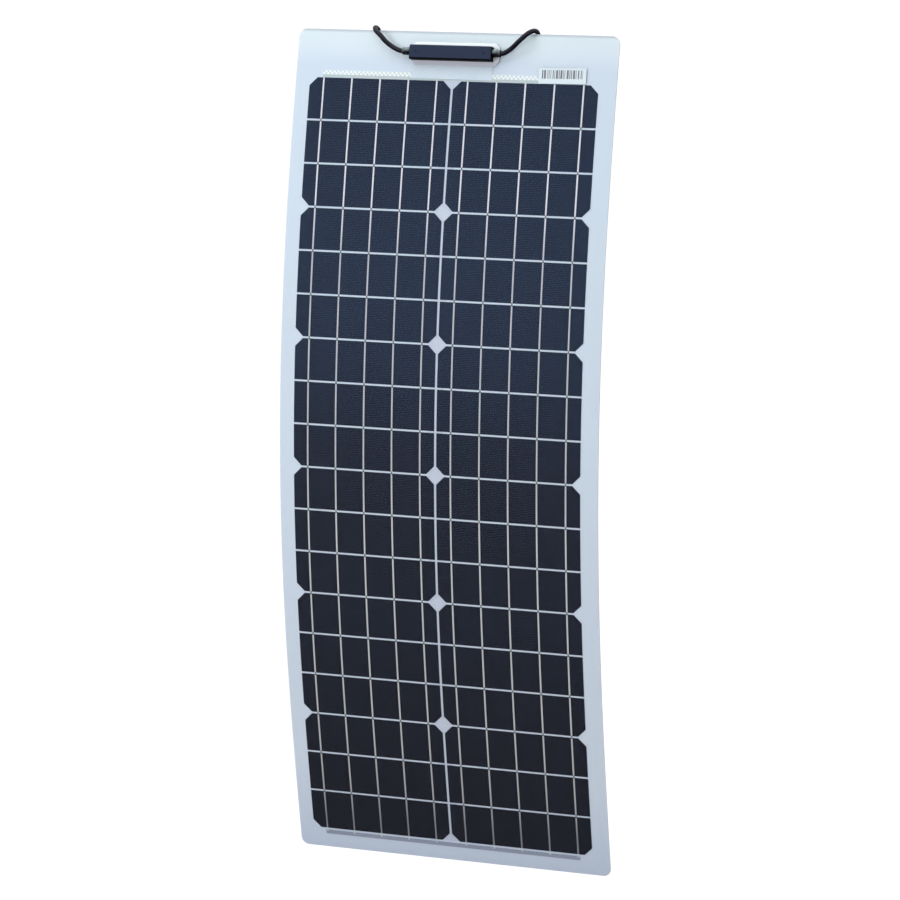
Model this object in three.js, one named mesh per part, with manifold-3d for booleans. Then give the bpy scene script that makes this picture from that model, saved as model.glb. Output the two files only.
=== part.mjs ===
// Flexible solar sheet: two columns of cut cells between a white back sheet and a clear front,
// bowed about a level axis, with a junction box and two leads at its top edge.
//
// Millimetres. X runs along the sheet's width, Z is up, and the cells face -Y.
// The origin is on the back of the sheet, in the middle of its bow, which is where it is held.

import * as THREE from 'three';
import { mergeVertices } from 'three/addons/utils/BufferGeometryUtils.js';
import Module from 'manifold-3d';

const wasm = await Module();
wasm.setup();

// Cells. A square wafer with cut corners is sawn into level slices.

const WAFER_WIDTH = 156.75;
const WAFER_CHAMFER = 8.5;
const SLICE_HEIGHT = 43.2;
const SLICES_PER_WAFER = 3;
const SLICE_GAP = 1.97;
const COLUMN_GAP = 2.5;
const ROWS = 18;
const CELL_THICKNESS = 0.25;
const RIBBONS_PER_CELL = 5;
const RIBBON_WIDTH = 1.8;
const RIBBON_PROUD = 0.15;

// Sheet. The margins are measured from the cells' outer edges. The cells, and all that is set out
// from them, lie CELLS_SHIFT to the right of the sheet's middle.

const SHEET_WIDTH = 351;
const CELLS_SHIFT = -1.45;
const TOP_MARGIN = 50.5;
const BOTTOM_MARGIN = 22.6;
const SHEET_CORNER = 8.5;
const END_TILT = 11.75;
const BACK_SHEET_THICKNESS = 1.5;
const ENCAPSULANT_SKIN = 0.2;
const FRONT_FILM_THICKNESS = 0.3;

// Ribbons that gather the current above and below the cells.

const BUS_WIDTH = 4.5;
const BUS_THICKNESS = 0.25;
const BUS_OVERHANG = 0.8;
const UPPER_BUS_GAP = 3.2;
const LOWER_BUS_GAP = 2.3;
const BUS_COVER_WIDTH = 88.5;
const BUS_COVER_SHIFT = -1.3;
const BUS_COVER_THICKNESS = 0.1;
const BUS_COVER_HEM = 1.4;

// Label beside the box, stuck on a little askew. Its inset is from the sheet's right edge.

const LABEL_WIDTH = 51;
const LABEL_HEIGHT = 16;
const LABEL_THICKNESS = 0.15;
const LABEL_INSET = 32.5;
const LABEL_ABOVE_CELLS = 0.4;
const LABEL_TURN = 0.8;

// Junction box on its bed of sealant. The box is set out from the cells' middle.

const BOX_SHIFT = -0.8;
const BOX_BELOW_EDGE = 22.7;
const BOX_LENGTH = 89;
const BOX_WIDTH = 15;
const BOX_BASE_HEIGHT = 7.9;
const BOX_WALL = 1.4;
const BOX_FLOOR = 1.2;
const LID_HEIGHT = 1.9;
const LID_BEVEL = 1.8;
const LID_BEVEL_DEPTH = 1.3;
const LID_LIP_DEPTH = 1.2;
const LID_LIP_WALL = 1;
const LID_LIP_CLEARANCE = 0.25;
const LID_DIMPLE_RADIUS = 0.8;
const LID_DIMPLE_DEPTH = 0.9;
const LID_DIMPLE_INSET = 7.6;
const SEALANT_LENGTH = 96.3;
const SEALANT_WIDTH = 23.6;
const SEALANT_THICKNESS = 1;
const SEALANT_CHAMFER = 4.5;
const SEALANT_SHIFT = 2.3;

// Terminals and bypass diode in the box.

const TERMINAL_LENGTH = 20;
const TERMINAL_WIDTH = 7;
const TERMINAL_THICKNESS = 0.8;
const TERMINAL_INNER_X = 14;
const DIODE_RADIUS = 2;
const DIODE_LENGTH = 9;
const DIODE_LEAD_RADIUS = 0.6;
const DIODE_LEAD_PAST_TERMINAL = 0.8;

// Cable glands in the ends of the box.

const GLAND_LENGTH = 9;
const GLAND_RADIUS = 4.1;
const GLAND_NECK_RADIUS = 3.5;
const GLAND_NECK_LENGTH = 1;
const GLAND_COLLAR_RADIUS = 3.9;
const GLAND_COLLAR_LENGTH = 2.4;
const GLAND_GROOVE_WIDTH = 0.5;
const GLAND_EDGE = 0.4;
const GLAND_STUB_RADIUS = 2.5;
const GLAND_HOLE_CLEARANCE = 0.25;
const GLAND_AXIS_UP = 4.1;
const GLAND_AXIS_RISE = 1.1;

// Leads, each with its coil, tie and connector.

const LEAD_DIAMETER = 5;
const LEAD_SIDES = 8;
const LEAD_STEPS = 26;
const COIL_MIDDLE_RADIUS = 29;
const COIL_TURNS = 4.25;
const COIL_TURN_GAP = 0.45;
const COIL_STEPS_PER_TURN = 24;
const COIL_SIDES = 6;
const COIL_TAIL = 28;
const TIE_WALL = 1.2;
const TIE_WIDTH = 3.6;
const TIE_CLEARANCE = 0.35;
const TIE_HEAD = 5;
const PLUG_NUT_LENGTH = 15;
const PLUG_NUT_RADIUS = 7.6;
const PLUG_NUT_TAPER = 2;
const PLUG_NUT_TAPER_LENGTH = 4;
const PLUG_GROOVE = 1;
const PLUG_BODY_LENGTH = 24;
const PLUG_BODY_RADIUS = 8.2;
const PLUG_SHOULDER_LENGTH = 4;
const PLUG_SHOULDER_RADIUS = 9;
const PLUG_NOSE_LENGTH = 15;
const PLUG_NOSE_RADIUS = 5.2;
const PLUG_NOSE_EDGE = 0.6;
const PLUG_NOSE_CLEARANCE = 0.6;
const PLUG_SLEEVE_WALL = 2;
const PLUG_SLEEVE_LENGTH = 17;
const PLUG_PIN_RADIUS = 1.5;
const PLUG_PIN_LENGTH = 2.5;

// Clearances: between laid-up layers, round inset pieces, and between pieces that meet.

const LAYER_GAP = 0.1;
const INSET_CLEARANCE = 0.3;
const MEETING_GAP = 0.3;
const ROUND_SIDES = 20;
const SMALL_ROUND_SIDES = 12;

// How far a cutting solid runs past the faces that it opens.

const CUT_PAST = 1;

// Free stretch of each lead, from the gland's mouth over the top edge to the top of the coil.
// Each point is outward, back and up from the mouth.

const LEFT_ROUTE = [
  [0, 0, 0], [1.5, 0, 0], [4.8, 0.2, 0.8], [9, 0.5, 2.6], [13, 0.5, 4.8], [16.6, -0.3, 7.5],
  [19.9, -1, 10.6], [23, -0.9, 14], [26.5, -0.3, 17.2], [29.9, 1.3, 19.7], [32.4, 4.5, 21.8],
  [33.7, 8.8, 22.6], [33.9, 13.3, 21.9], [33.6, 17.1, 19.4], [33.9, 19.6, 15.4], [35.4, 20.4, 11],
  [38, 20.5, 7.2], [41.1, 20.6, 3.9], [44.8, 20.7, 1.3], [48.9, 20.7, -0.7], [53.4, 20.7, -1.8],
  [57.9, 20.7, -2.2], [62.5, 20.7, -2.2],
];
const RIGHT_ROUTE = [
  [0, 0, 0], [1.5, 0, 0], [4.7, 0.2, 1.2], [8.5, 0.7, 3.6], [12.2, 0.5, 6.4], [15.5, -0.6, 9.2],
  [18.9, -1.3, 12.3], [22.2, -0.9, 15.4], [25.6, 0.1, 18.6], [28.7, 2.6, 21.4], [31.1, 6.2, 22.9],
  [32.6, 10.6, 23.1], [33.3, 15, 21.7], [33.4, 18.4, 18.6], [33.6, 20.6, 14.6], [34.4, 21.1, 10.3],
  [36.2, 21.2, 6.3], [38.7, 21.2, 2.9], [41.9, 21.2, 0.2], [46, 21.2, -1.7], [50.4, 21.2, -2.9],
  [54.9, 21.2, -3.3], [59.5, 21.2, -3.3],
];

// Materials

const white = new THREE.MeshStandardMaterial({ color: 0xdfe7f1, roughness: 0.55, metalness: 0 });
const clear = new THREE.MeshStandardMaterial({
  color: 0xe9f0f6,
  roughness: 0.35,
  metalness: 0,
  transparent: true,
  opacity: 0.2,
});
const silicon = new THREE.MeshStandardMaterial({ color: 0x232a3c, roughness: 0.3, metalness: 0.1 });
const tinned = new THREE.MeshStandardMaterial({ color: 0xc9ccd1, roughness: 0.35, metalness: 0.9 });
const paper = new THREE.MeshStandardMaterial({ color: 0xf0f3f6, roughness: 0.7, metalness: 0 });
const sealantWhite = new THREE.MeshStandardMaterial({ color: 0xece9e0, roughness: 0.6, metalness: 0 });
const boxBlack = new THREE.MeshStandardMaterial({ color: 0x2b3138, roughness: 0.55, metalness: 0 });
const leadBlack = new THREE.MeshStandardMaterial({ color: 0x2a2829, roughness: 0.6, metalness: 0 });
const plugBlack = new THREE.MeshStandardMaterial({ color: 0x1d1e20, roughness: 0.5, metalness: 0 });

// Solids for joining and cutting

function bare(geometry) {
  const copy = geometry.clone();
  for (const name of Object.keys(copy.attributes)) {
    if (name !== 'position') copy.deleteAttribute(name);
  }
  return mergeVertices(copy, 1e-4);
}

function solid(geometry) {
  const merged = bare(geometry);
  const vertProperties = new Float32Array(merged.attributes.position.array);
  const triVerts = new Uint32Array(merged.index.array);
  return new wasm.Manifold(new wasm.Mesh({ numProp: 3, vertProperties, triVerts }));
}

function geometryOf(body) {
  const mesh = body.getMesh();
  const geometry = new THREE.BufferGeometry();
  geometry.setAttribute('position', new THREE.BufferAttribute(new Float32Array(mesh.vertProperties), 3));
  geometry.setIndex(new THREE.BufferAttribute(new Uint32Array(mesh.triVerts), 1));
  return geometry;
}

function named(name, geometry, material) {
  const mesh = new THREE.Mesh(geometry, material);
  mesh.name = name;
  return mesh;
}

// The bow. The sheet is a chain of flat facets, one to each row of cells and one to each end margin.
// Distances along the sheet run down from the middle of the gap above the first row.

const rowPitch = SLICE_HEIGHT + SLICE_GAP;
const sheetTop = SLICE_GAP / 2 - TOP_MARGIN;
const sheetBottom = ROWS * rowPitch - SLICE_GAP / 2 + BOTTOM_MARGIN;
const holdRow = Math.floor((ROWS - 1) / 2);
const apex = (holdRow + 0.5) * rowPitch;

const stations = [sheetTop];
for (let row = 0; row <= ROWS; row++) {
  stations.push(row * rowPitch);
}
stations.push(sheetBottom);

// The tilt grows from nothing at the apex to END_TILT at the ends, where the sheet runs straight.
function tiltAt(along) {
  const share = (along - apex) / ((sheetBottom - sheetTop) / 2);
  return -THREE.MathUtils.degToRad(END_TILT) * (1.5 * share - 0.5 * share ** 3);
}

const facets = [];
for (let i = 0; i + 1 < stations.length; i++) {
  const middle = (stations[i] + stations[i + 1]) / 2;
  facets.push({ middle, length: stations[i + 1] - stations[i], tilt: tiltAt(middle) });
}
const holdFacet = holdRow + 1;
const topFacet = facets[0];
const bottomFacet = facets[facets.length - 1];

// The chain's corners on the back of the sheet, from the top edge to the bottom edge.
const backLine = stations.map(() => new THREE.Vector2());
backLine[holdFacet].set(0, facets[holdFacet].length / 2);
for (let i = holdFacet - 1; i >= 0; i--) {
  const { length, tilt } = facets[i];
  backLine[i].set(Math.sin(tilt), Math.cos(tilt)).multiplyScalar(length).add(backLine[i + 1]);
}
for (let i = holdFacet; i < facets.length; i++) {
  const { length, tilt } = facets[i];
  backLine[i + 1].set(Math.sin(tilt), Math.cos(tilt)).multiplyScalar(-length).add(backLine[i]);
}

// A group in a facet's own axes: X across, Z up along the facet, -Y out of its front.
facets.forEach((facet, i) => {
  facet.group = new THREE.Group();
  const centre = backLine[i].clone().add(backLine[i + 1]).multiplyScalar(0.5);
  facet.group.position.set(CELLS_SHIFT, centre.x, centre.y);
  facet.group.rotation.x = -facet.tilt;
  facet.group.updateMatrixWorld();
});

// Height in a facet's own axes of a place that lies this far along the sheet.
function heightIn(facet, along) {
  return facet.middle - along;
}

// The back line moved forward by a depth, with its corners mitred.
function lineAt(depth) {
  return backLine.map((point, i) => {
    const before = facets[Math.max(i - 1, 0)].tilt;
    const after = facets[Math.min(i, facets.length - 1)].tilt;
    const mitre = (before + after) / 2;
    const reach = depth / Math.cos((before - after) / 2);
    return new THREE.Vector2(-Math.cos(mitre), Math.sin(mitre)).multiplyScalar(reach).add(point);
  });
}

// Turns a shape drawn in Y and Z, extruded along its own Z, so that it runs along X.
const acrossX = new THREE.Matrix4().makeBasis(
  new THREE.Vector3(0, 1, 0),
  new THREE.Vector3(0, 0, 1),
  new THREE.Vector3(1, 0, 0),
);

// A plate in a facet's axes: an outline in X and Z that reaches forward from one depth to another.
function plate(outline, from, to) {
  const geometry = new THREE.ExtrudeGeometry(outline, { depth: to - from, bevelEnabled: false });
  geometry.rotateX(Math.PI / 2);
  geometry.translate(0, -from, 0);
  return geometry;
}

function polygon(points) {
  return new THREE.Shape(points.map(([x, y]) => new THREE.Vector2(x, y)));
}

function rectangle(left, bottom, right, top) {
  return polygon([[left, bottom], [right, bottom], [right, top], [left, top]]);
}

// What is cut away to round one corner of the sheet, in a facet's axes; side is -1 or 1, and end is 1
// at the top.
function cornerCutter(side, end, height) {
  const edge = SHEET_WIDTH / 2 - side * CELLS_SHIFT;
  const inner = edge - SHEET_CORNER;
  const past = side * (edge + CUT_PAST);
  const points = [[past, end * (height + CUT_PAST)], [past, end * (height - SHEET_CORNER)]];
  const steps = 6;
  for (let i = 0; i <= steps; i++) {
    const angle = (Math.PI / 2) * (i / steps);
    const x = inner + SHEET_CORNER * Math.cos(angle);
    const z = height - SHEET_CORNER + SHEET_CORNER * Math.sin(angle);
    points.push([side * x, end * z]);
  }
  points.push([side * inner, end * (height + CUT_PAST)]);
  return plate(polygon(points), -CUT_PAST, filmFront + CUT_PAST);
}

// A bowed layer of the sheet between two depths, with its four corners rounded.
function layer(from, to) {
  const outline = new THREE.Shape([...lineAt(from), ...lineAt(to).reverse()]);
  const geometry = new THREE.ExtrudeGeometry(outline, { depth: SHEET_WIDTH, bevelEnabled: false });
  geometry.translate(0, 0, -SHEET_WIDTH / 2);
  geometry.applyMatrix4(acrossX);
  let body = solid(geometry);
  for (const side of [-1, 1]) {
    for (const [facet, end] of [[topFacet, 1], [bottomFacet, -1]]) {
      const cutter = cornerCutter(side, end, facet.length / 2);
      cutter.applyMatrix4(facet.group.matrixWorld);
      body = body.subtract(solid(cutter));
    }
  }
  return body;
}

// Depths of the layers, measured forward from the back of the sheet

const cellBack = BACK_SHEET_THICKNESS + LAYER_GAP;
const cellFront = cellBack + CELL_THICKNESS;
const ribbonFront = cellFront + RIBBON_PROUD;
const busFront = cellBack + BUS_THICKNESS;
const coverBack = Math.max(busFront, ribbonFront) + LAYER_GAP;
const coverFront = coverBack + BUS_COVER_THICKNESS;
const pocketFront = coverFront + LAYER_GAP;
const encapsulantFront = pocketFront + ENCAPSULANT_SKIN;
const filmBack = encapsulantFront + LAYER_GAP;
const filmFront = filmBack + FRONT_FILM_THICKNESS;
const sealantBack = filmFront + LAYER_GAP;
const sealantFront = sealantBack + SEALANT_THICKNESS;
const baseBack = sealantFront + LAYER_GAP;
const baseFront = baseBack + BOX_BASE_HEIGHT;
const lidBack = baseFront + LAYER_GAP;
const lidFront = lidBack + LID_HEIGHT;

// Cells

const columnX = (WAFER_WIDTH + COLUMN_GAP) / 2;
const ribbonSpacing = WAFER_WIDTH / RIBBONS_PER_CELL;
const ribbonOffsets = [];
for (let i = 0; i < RIBBONS_PER_CELL; i++) {
  ribbonOffsets.push((i - (RIBBONS_PER_CELL - 1) / 2) * ribbonSpacing);
}

// A slice's outline, grown all round; the first and last slices of a wafer have its cut corners.
function sliceOutline(first, last, grow) {
  const x = WAFER_WIDTH / 2 + grow;
  const z = SLICE_HEIGHT / 2 + grow;
  const leg = WAFER_CHAMFER + grow * (2 - Math.SQRT2);
  const top = first ? leg : 0;
  const bottom = last ? leg : 0;
  const points = [[-x + bottom, -z], [x - bottom, -z]];
  if (last) points.push([x, -z + bottom]);
  points.push([x, z - top]);
  if (first) points.push([x - top, z], [-x + top, z]);
  points.push([-x, z - top]);
  if (last) points.push([-x, -z + bottom]);
  return polygon(points);
}

// A slice with its ribbons, which run on past it where they meet a gathering ribbon.
function sliceGeometry(first, last, tailUp, tailDown) {
  let body = solid(plate(sliceOutline(first, last, 0), cellBack, cellFront));
  const sunk = (cellBack + cellFront) / 2;
  for (const x of ribbonOffsets) {
    const bottom = -SLICE_HEIGHT / 2 - tailDown;
    const top = SLICE_HEIGHT / 2 + tailUp;
    const ribbon = rectangle(x - RIBBON_WIDTH / 2, bottom, x + RIBBON_WIDTH / 2, top);
    body = body.add(solid(plate(ribbon, sunk, ribbonFront)));
  }
  return geometryOf(body);
}

const sheet = new THREE.Group();
const slices = new Map();
for (let row = 0; row < ROWS; row++) {
  const first = row % SLICES_PER_WAFER === 0;
  const last = row % SLICES_PER_WAFER === SLICES_PER_WAFER - 1;
  const tailUp = row === 0 ? UPPER_BUS_GAP - MEETING_GAP : 0;
  const tailDown = row === ROWS - 1 ? LOWER_BUS_GAP - MEETING_GAP : 0;
  const key = [first, last, tailUp, tailDown].join();
  if (!slices.has(key)) {
    slices.set(key, sliceGeometry(first, last, tailUp, tailDown));
  }
  const number = String(row + 1).padStart(2, '0');
  const left = named(`cell_left_${number}`, slices.get(key), silicon);
  left.position.x = -columnX;
  const right = named(`cell_right_${number}`, slices.get(key), silicon);
  right.position.x = columnX;
  facets[row + 1].group.add(left, right);
}

// Gathering ribbons. The upper pair turns up towards the box at its inner ends, under a white cover.

const busEnd = columnX + ribbonOffsets[RIBBONS_PER_CELL - 1] + RIBBON_WIDTH / 2 + BUS_OVERHANG;
const busInner = columnX + ribbonOffsets[0] - RIBBON_WIDTH / 2 - BUS_OVERHANG;
const cellTop = heightIn(topFacet, SLICE_GAP / 2);
const cellBottom = heightIn(bottomFacet, ROWS * rowPitch - SLICE_GAP / 2);
const boxHeight = topFacet.length / 2 - BOX_BELOW_EDGE;
const upperBusBottom = cellTop + UPPER_BUS_GAP;
const upperBusTop = upperBusBottom + BUS_WIDTH;
const lowerBusTop = cellBottom - LOWER_BUS_GAP;
const lowerBusBottom = lowerBusTop - BUS_WIDTH;

const lowerBus = rectangle(-busEnd, lowerBusBottom, busEnd, lowerBusTop);
bottomFacet.group.add(named('bus_ribbon_lower', plate(lowerBus, cellBack, busFront), tinned));

for (const [side, name] of [[-1, 'bus_ribbon_upper_left'], [1, 'bus_ribbon_upper_right']]) {
  const outline = [
    [busInner, upperBusBottom],
    [busEnd, upperBusBottom],
    [busEnd, upperBusTop],
    [busInner + BUS_WIDTH, upperBusTop],
    [busInner + BUS_WIDTH, boxHeight],
    [busInner, boxHeight],
  ].map(([x, z]) => [side * x, z]);
  topFacet.group.add(named(name, plate(polygon(outline), cellBack, busFront), tinned));
}

const coverBottom = upperBusBottom - BUS_COVER_HEM;
const cover = rectangle(-BUS_COVER_WIDTH / 2, coverBottom, BUS_COVER_WIDTH / 2, boxHeight);
const coverMesh = named('bus_cover', plate(cover, coverBack, coverFront), white);
coverMesh.position.x = BUS_COVER_SHIFT;
topFacet.group.add(coverMesh);

// Back sheet, encapsulant and front film. The encapsulant has a pocket for each piece it wraps.

function cutIn(facet, body, geometry) {
  geometry.applyMatrix4(facet.group.matrixWorld);
  return body.subtract(solid(geometry));
}

sheet.add(named('back_sheet', geometryOf(layer(0, BACK_SHEET_THICKNESS)), white));

let encapsulant = layer(cellBack, encapsulantFront);
const pocketBack = cellBack - LAYER_GAP;
for (let row = 0; row < ROWS; row++) {
  const first = row % SLICES_PER_WAFER === 0;
  const last = row % SLICES_PER_WAFER === SLICES_PER_WAFER - 1;
  for (const side of [-1, 1]) {
    const pocket = plate(sliceOutline(first, last, INSET_CLEARANCE), pocketBack, pocketFront);
    pocket.translate(side * columnX, 0, 0);
    encapsulant = cutIn(facets[row + 1], encapsulant, pocket);
  }
}
const busReach = busEnd + INSET_CLEARANCE;
const lowerPocket = rectangle(-busReach, lowerBusBottom - INSET_CLEARANCE, busReach, cellBottom);
encapsulant = cutIn(bottomFacet, encapsulant, plate(lowerPocket, pocketBack, pocketFront));
const upperPocket = rectangle(-busReach, cellTop, busReach, upperBusTop + INSET_CLEARANCE);
encapsulant = cutIn(topFacet, encapsulant, plate(upperPocket, pocketBack, pocketFront));
const coverReach = BUS_COVER_WIDTH / 2 + INSET_CLEARANCE;
const coverRoom = rectangle(-coverReach, coverBottom, coverReach, boxHeight + INSET_CLEARANCE);
const coverPocket = plate(coverRoom, pocketBack, pocketFront);
coverPocket.translate(BUS_COVER_SHIFT, 0, 0);
encapsulant = cutIn(topFacet, encapsulant, coverPocket);
sheet.add(named('encapsulant', geometryOf(encapsulant), clear));

sheet.add(named('front_film', geometryOf(layer(filmBack, filmFront)), clear));

// Label

const labelX = SHEET_WIDTH / 2 - CELLS_SHIFT - LABEL_INSET - LABEL_WIDTH / 2;
const labelZ = cellTop + LABEL_ABOVE_CELLS + LABEL_HEIGHT / 2;
const labelBack = filmFront + LAYER_GAP;
const label = rectangle(-LABEL_WIDTH / 2, -LABEL_HEIGHT / 2, LABEL_WIDTH / 2, LABEL_HEIGHT / 2);
const labelMesh = named('serial_label', plate(label, labelBack, labelBack + LABEL_THICKNESS), paper);
labelMesh.position.set(labelX, 0, labelZ);
labelMesh.rotation.y = -THREE.MathUtils.degToRad(LABEL_TURN);
topFacet.group.add(labelMesh);

// Junction box. Its group sits on the box's centre line, and depths still run from the sheet's back.

const box = new THREE.Group();
box.position.set(BOX_SHIFT, 0, boxHeight);
topFacet.group.add(box);

const sealX = SEALANT_LENGTH / 2;
const sealZ = SEALANT_WIDTH / 2;
const sealant = polygon([
  [-sealX + SEALANT_CHAMFER, -sealZ],
  [sealX - SEALANT_CHAMFER, -sealZ],
  [sealX, -sealZ + SEALANT_CHAMFER],
  [sealX, sealZ - SEALANT_CHAMFER],
  [sealX - SEALANT_CHAMFER, sealZ],
  [-sealX + SEALANT_CHAMFER, sealZ],
  [-sealX, sealZ - SEALANT_CHAMFER],
  [-sealX, -sealZ + SEALANT_CHAMFER],
]);
const sealantMesh = named('box_sealant', plate(sealant, sealantBack, sealantFront), sealantWhite);
sealantMesh.position.x = SEALANT_SHIFT;
box.add(sealantMesh);

// A cylinder along X at a depth and a rise above the box's centre line.
function cylinderAcross(radius, from, to, depth, rise) {
  const geometry = new THREE.CylinderGeometry(radius, radius, to - from, ROUND_SIDES);
  geometry.rotateZ(Math.PI / 2);
  geometry.translate((from + to) / 2, -depth, rise);
  return geometry;
}

const boxX = BOX_LENGTH / 2;
const boxZ = BOX_WIDTH / 2;
const hollowX = boxX - BOX_WALL;
const hollowZ = boxZ - BOX_WALL;
const floorFront = baseBack + BOX_FLOOR;
const glandDepth = baseBack + GLAND_AXIS_UP;
let base = solid(plate(rectangle(-boxX, -boxZ, boxX, boxZ), baseBack, baseFront));
const hollow = rectangle(-hollowX, -hollowZ, hollowX, hollowZ);
base = base.subtract(solid(plate(hollow, floorFront, baseFront + CUT_PAST)));
const glandHole = GLAND_STUB_RADIUS + GLAND_HOLE_CLEARANCE;
const holeEnd = boxX + CUT_PAST;
const glandHoles = cylinderAcross(glandHole, -holeEnd, holeEnd, glandDepth, GLAND_AXIS_RISE);
base = base.subtract(solid(glandHoles));
box.add(named('box_base', geometryOf(base), boxBlack));

// Lid: a bevelled cap with a lip that drops into the base, and a dimple near each end of its face.
const lidProfile = polygon([
  [-lidBack, -boxZ],
  [-lidBack, boxZ],
  [-(lidFront - LID_BEVEL_DEPTH), boxZ],
  [-lidFront, boxZ - LID_BEVEL],
  [-lidFront, -boxZ + LID_BEVEL],
  [-(lidFront - LID_BEVEL_DEPTH), -boxZ],
]);
const lidCap = new THREE.ExtrudeGeometry(lidProfile, { depth: BOX_LENGTH, bevelEnabled: false });
lidCap.translate(0, 0, -boxX);
lidCap.applyMatrix4(acrossX);
const lipX = hollowX - LID_LIP_CLEARANCE;
const lipZ = hollowZ - LID_LIP_CLEARANCE;
const lipBack = baseFront - LID_LIP_DEPTH;
const lip = solid(plate(rectangle(-lipX, -lipZ, lipX, lipZ), lipBack, (lidBack + lidFront) / 2));
const coreX = lipX - LID_LIP_WALL;
const coreZ = lipZ - LID_LIP_WALL;
const lipCore = solid(plate(rectangle(-coreX, -coreZ, coreX, coreZ), lipBack - CUT_PAST, lidBack));
let lid = solid(lidCap).add(lip).subtract(lipCore);
for (const side of [-1, 1]) {
  const dimple = new THREE.CylinderGeometry(
    LID_DIMPLE_RADIUS,
    LID_DIMPLE_RADIUS,
    2 * LID_DIMPLE_DEPTH,
    SMALL_ROUND_SIDES,
  );
  dimple.translate(side * (boxX - LID_DIMPLE_INSET), -lidFront, 0);
  lid = lid.subtract(solid(dimple));
}
box.add(named('box_lid', geometryOf(lid), boxBlack));

// Terminals: tinned angles on the floor, whose upright ends carry the diode's leads.

const terminalBack = floorFront + LAYER_GAP;
const terminalFront = terminalBack + TERMINAL_THICKNESS;
const diodeLift = Math.max(DIODE_RADIUS, TERMINAL_THICKNESS + DIODE_LEAD_RADIUS);
const diodeDepth = terminalBack + LAYER_GAP + diodeLift;
const uprightFront = diodeDepth - DIODE_LEAD_RADIUS - LAYER_GAP;
for (const [side, name] of [[-1, 'terminal_left'], [1, 'terminal_right']]) {
  const inner = TERMINAL_INNER_X;
  const outer = TERMINAL_INNER_X + TERMINAL_LENGTH;
  const profile = [
    [inner, terminalBack],
    [outer, terminalBack],
    [outer, terminalFront],
    [inner + TERMINAL_THICKNESS, terminalFront],
    [inner + TERMINAL_THICKNESS, uprightFront],
    [inner, uprightFront],
  ].map(([x, depth]) => [side * x, -depth]);
  const geometry = new THREE.ExtrudeGeometry(polygon(profile), {
    depth: TERMINAL_WIDTH,
    bevelEnabled: false,
  });
  geometry.translate(0, 0, -TERMINAL_WIDTH / 2);
  box.add(named(name, geometry, tinned));
}

// A turned piece whose profile pairs are a radius and a distance along +X.
function turned(profile, sides) {
  const points = profile.map(([radius, along]) => new THREE.Vector2(radius, along));
  const geometry = new THREE.LatheGeometry(points, sides);
  geometry.rotateZ(-Math.PI / 2);
  return geometry;
}

const diodeLead = TERMINAL_INNER_X + TERMINAL_THICKNESS + DIODE_LEAD_PAST_TERMINAL;
const diode = turned([
  [0, -diodeLead],
  [DIODE_LEAD_RADIUS, -diodeLead],
  [DIODE_LEAD_RADIUS, -DIODE_LENGTH / 2],
  [DIODE_RADIUS, -DIODE_LENGTH / 2],
  [DIODE_RADIUS, DIODE_LENGTH / 2],
  [DIODE_LEAD_RADIUS, DIODE_LENGTH / 2],
  [DIODE_LEAD_RADIUS, diodeLead],
  [0, diodeLead],
], SMALL_ROUND_SIDES);
const diodeMesh = named('bypass_diode', diode, plugBlack);
diodeMesh.position.y = -diodeDepth;
box.add(diodeMesh);

// Glands: a stub through the wall, a neck, a barrel and a collar round the lead.
const barrelEnd = GLAND_LENGTH - GLAND_COLLAR_LENGTH;
const barrelRise = GLAND_RADIUS - GLAND_NECK_RADIUS;
const glandGeometry = turned([
  [0, -BOX_WALL],
  [GLAND_STUB_RADIUS, -BOX_WALL],
  [GLAND_STUB_RADIUS, LAYER_GAP],
  [GLAND_NECK_RADIUS, LAYER_GAP],
  [GLAND_NECK_RADIUS, GLAND_NECK_LENGTH],
  [GLAND_RADIUS, GLAND_NECK_LENGTH + barrelRise],
  [GLAND_RADIUS, barrelEnd - GLAND_GROOVE_WIDTH],
  [GLAND_NECK_RADIUS, barrelEnd - GLAND_GROOVE_WIDTH],
  [GLAND_NECK_RADIUS, barrelEnd],
  [GLAND_COLLAR_RADIUS, barrelEnd],
  [GLAND_COLLAR_RADIUS, GLAND_LENGTH - GLAND_EDGE],
  [GLAND_COLLAR_RADIUS - GLAND_EDGE, GLAND_LENGTH],
  [0, GLAND_LENGTH],
], ROUND_SIDES);

for (const [side, name] of [[-1, 'gland_left'], [1, 'gland_right']]) {
  const gland = named(name, glandGeometry, boxBlack);
  gland.position.set(side * boxX, -glandDepth, GLAND_AXIS_RISE);
  gland.rotation.z = side > 0 ? 0 : Math.PI;
  box.add(gland);
}

// Leads. Each hangs from its gland's mouth over the top edge, in the row's own upright axes.

const coilStep = LEAD_DIAMETER + COIL_TURN_GAP;
const coilOuter = COIL_MIDDLE_RADIUS + (COIL_TURNS / 4) * coilStep;

// Turns in from the outside and out again: the distance from the coil's axis after some turns.
function coilRadius(turn) {
  return coilOuter - coilStep * (turn < COIL_TURNS / 2 ? turn : COIL_TURNS - turn);
}

// The wound line crosses to its second layer in the half turn where the spiral reverses.
function coilLayer(turn) {
  const across = THREE.MathUtils.clamp((turn - COIL_TURNS / 2) / 0.5 + 0.5, 0, 1);
  return -coilStep * across;
}

// A point of the coil, from its axis: it starts at the top, heading outward.
function coilPoint(turn, side) {
  const angle = Math.PI / 2 - 2 * Math.PI * turn;
  const radius = coilRadius(turn);
  return new THREE.Vector3(side * radius * Math.cos(angle), coilLayer(turn), radius * Math.sin(angle));
}

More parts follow.
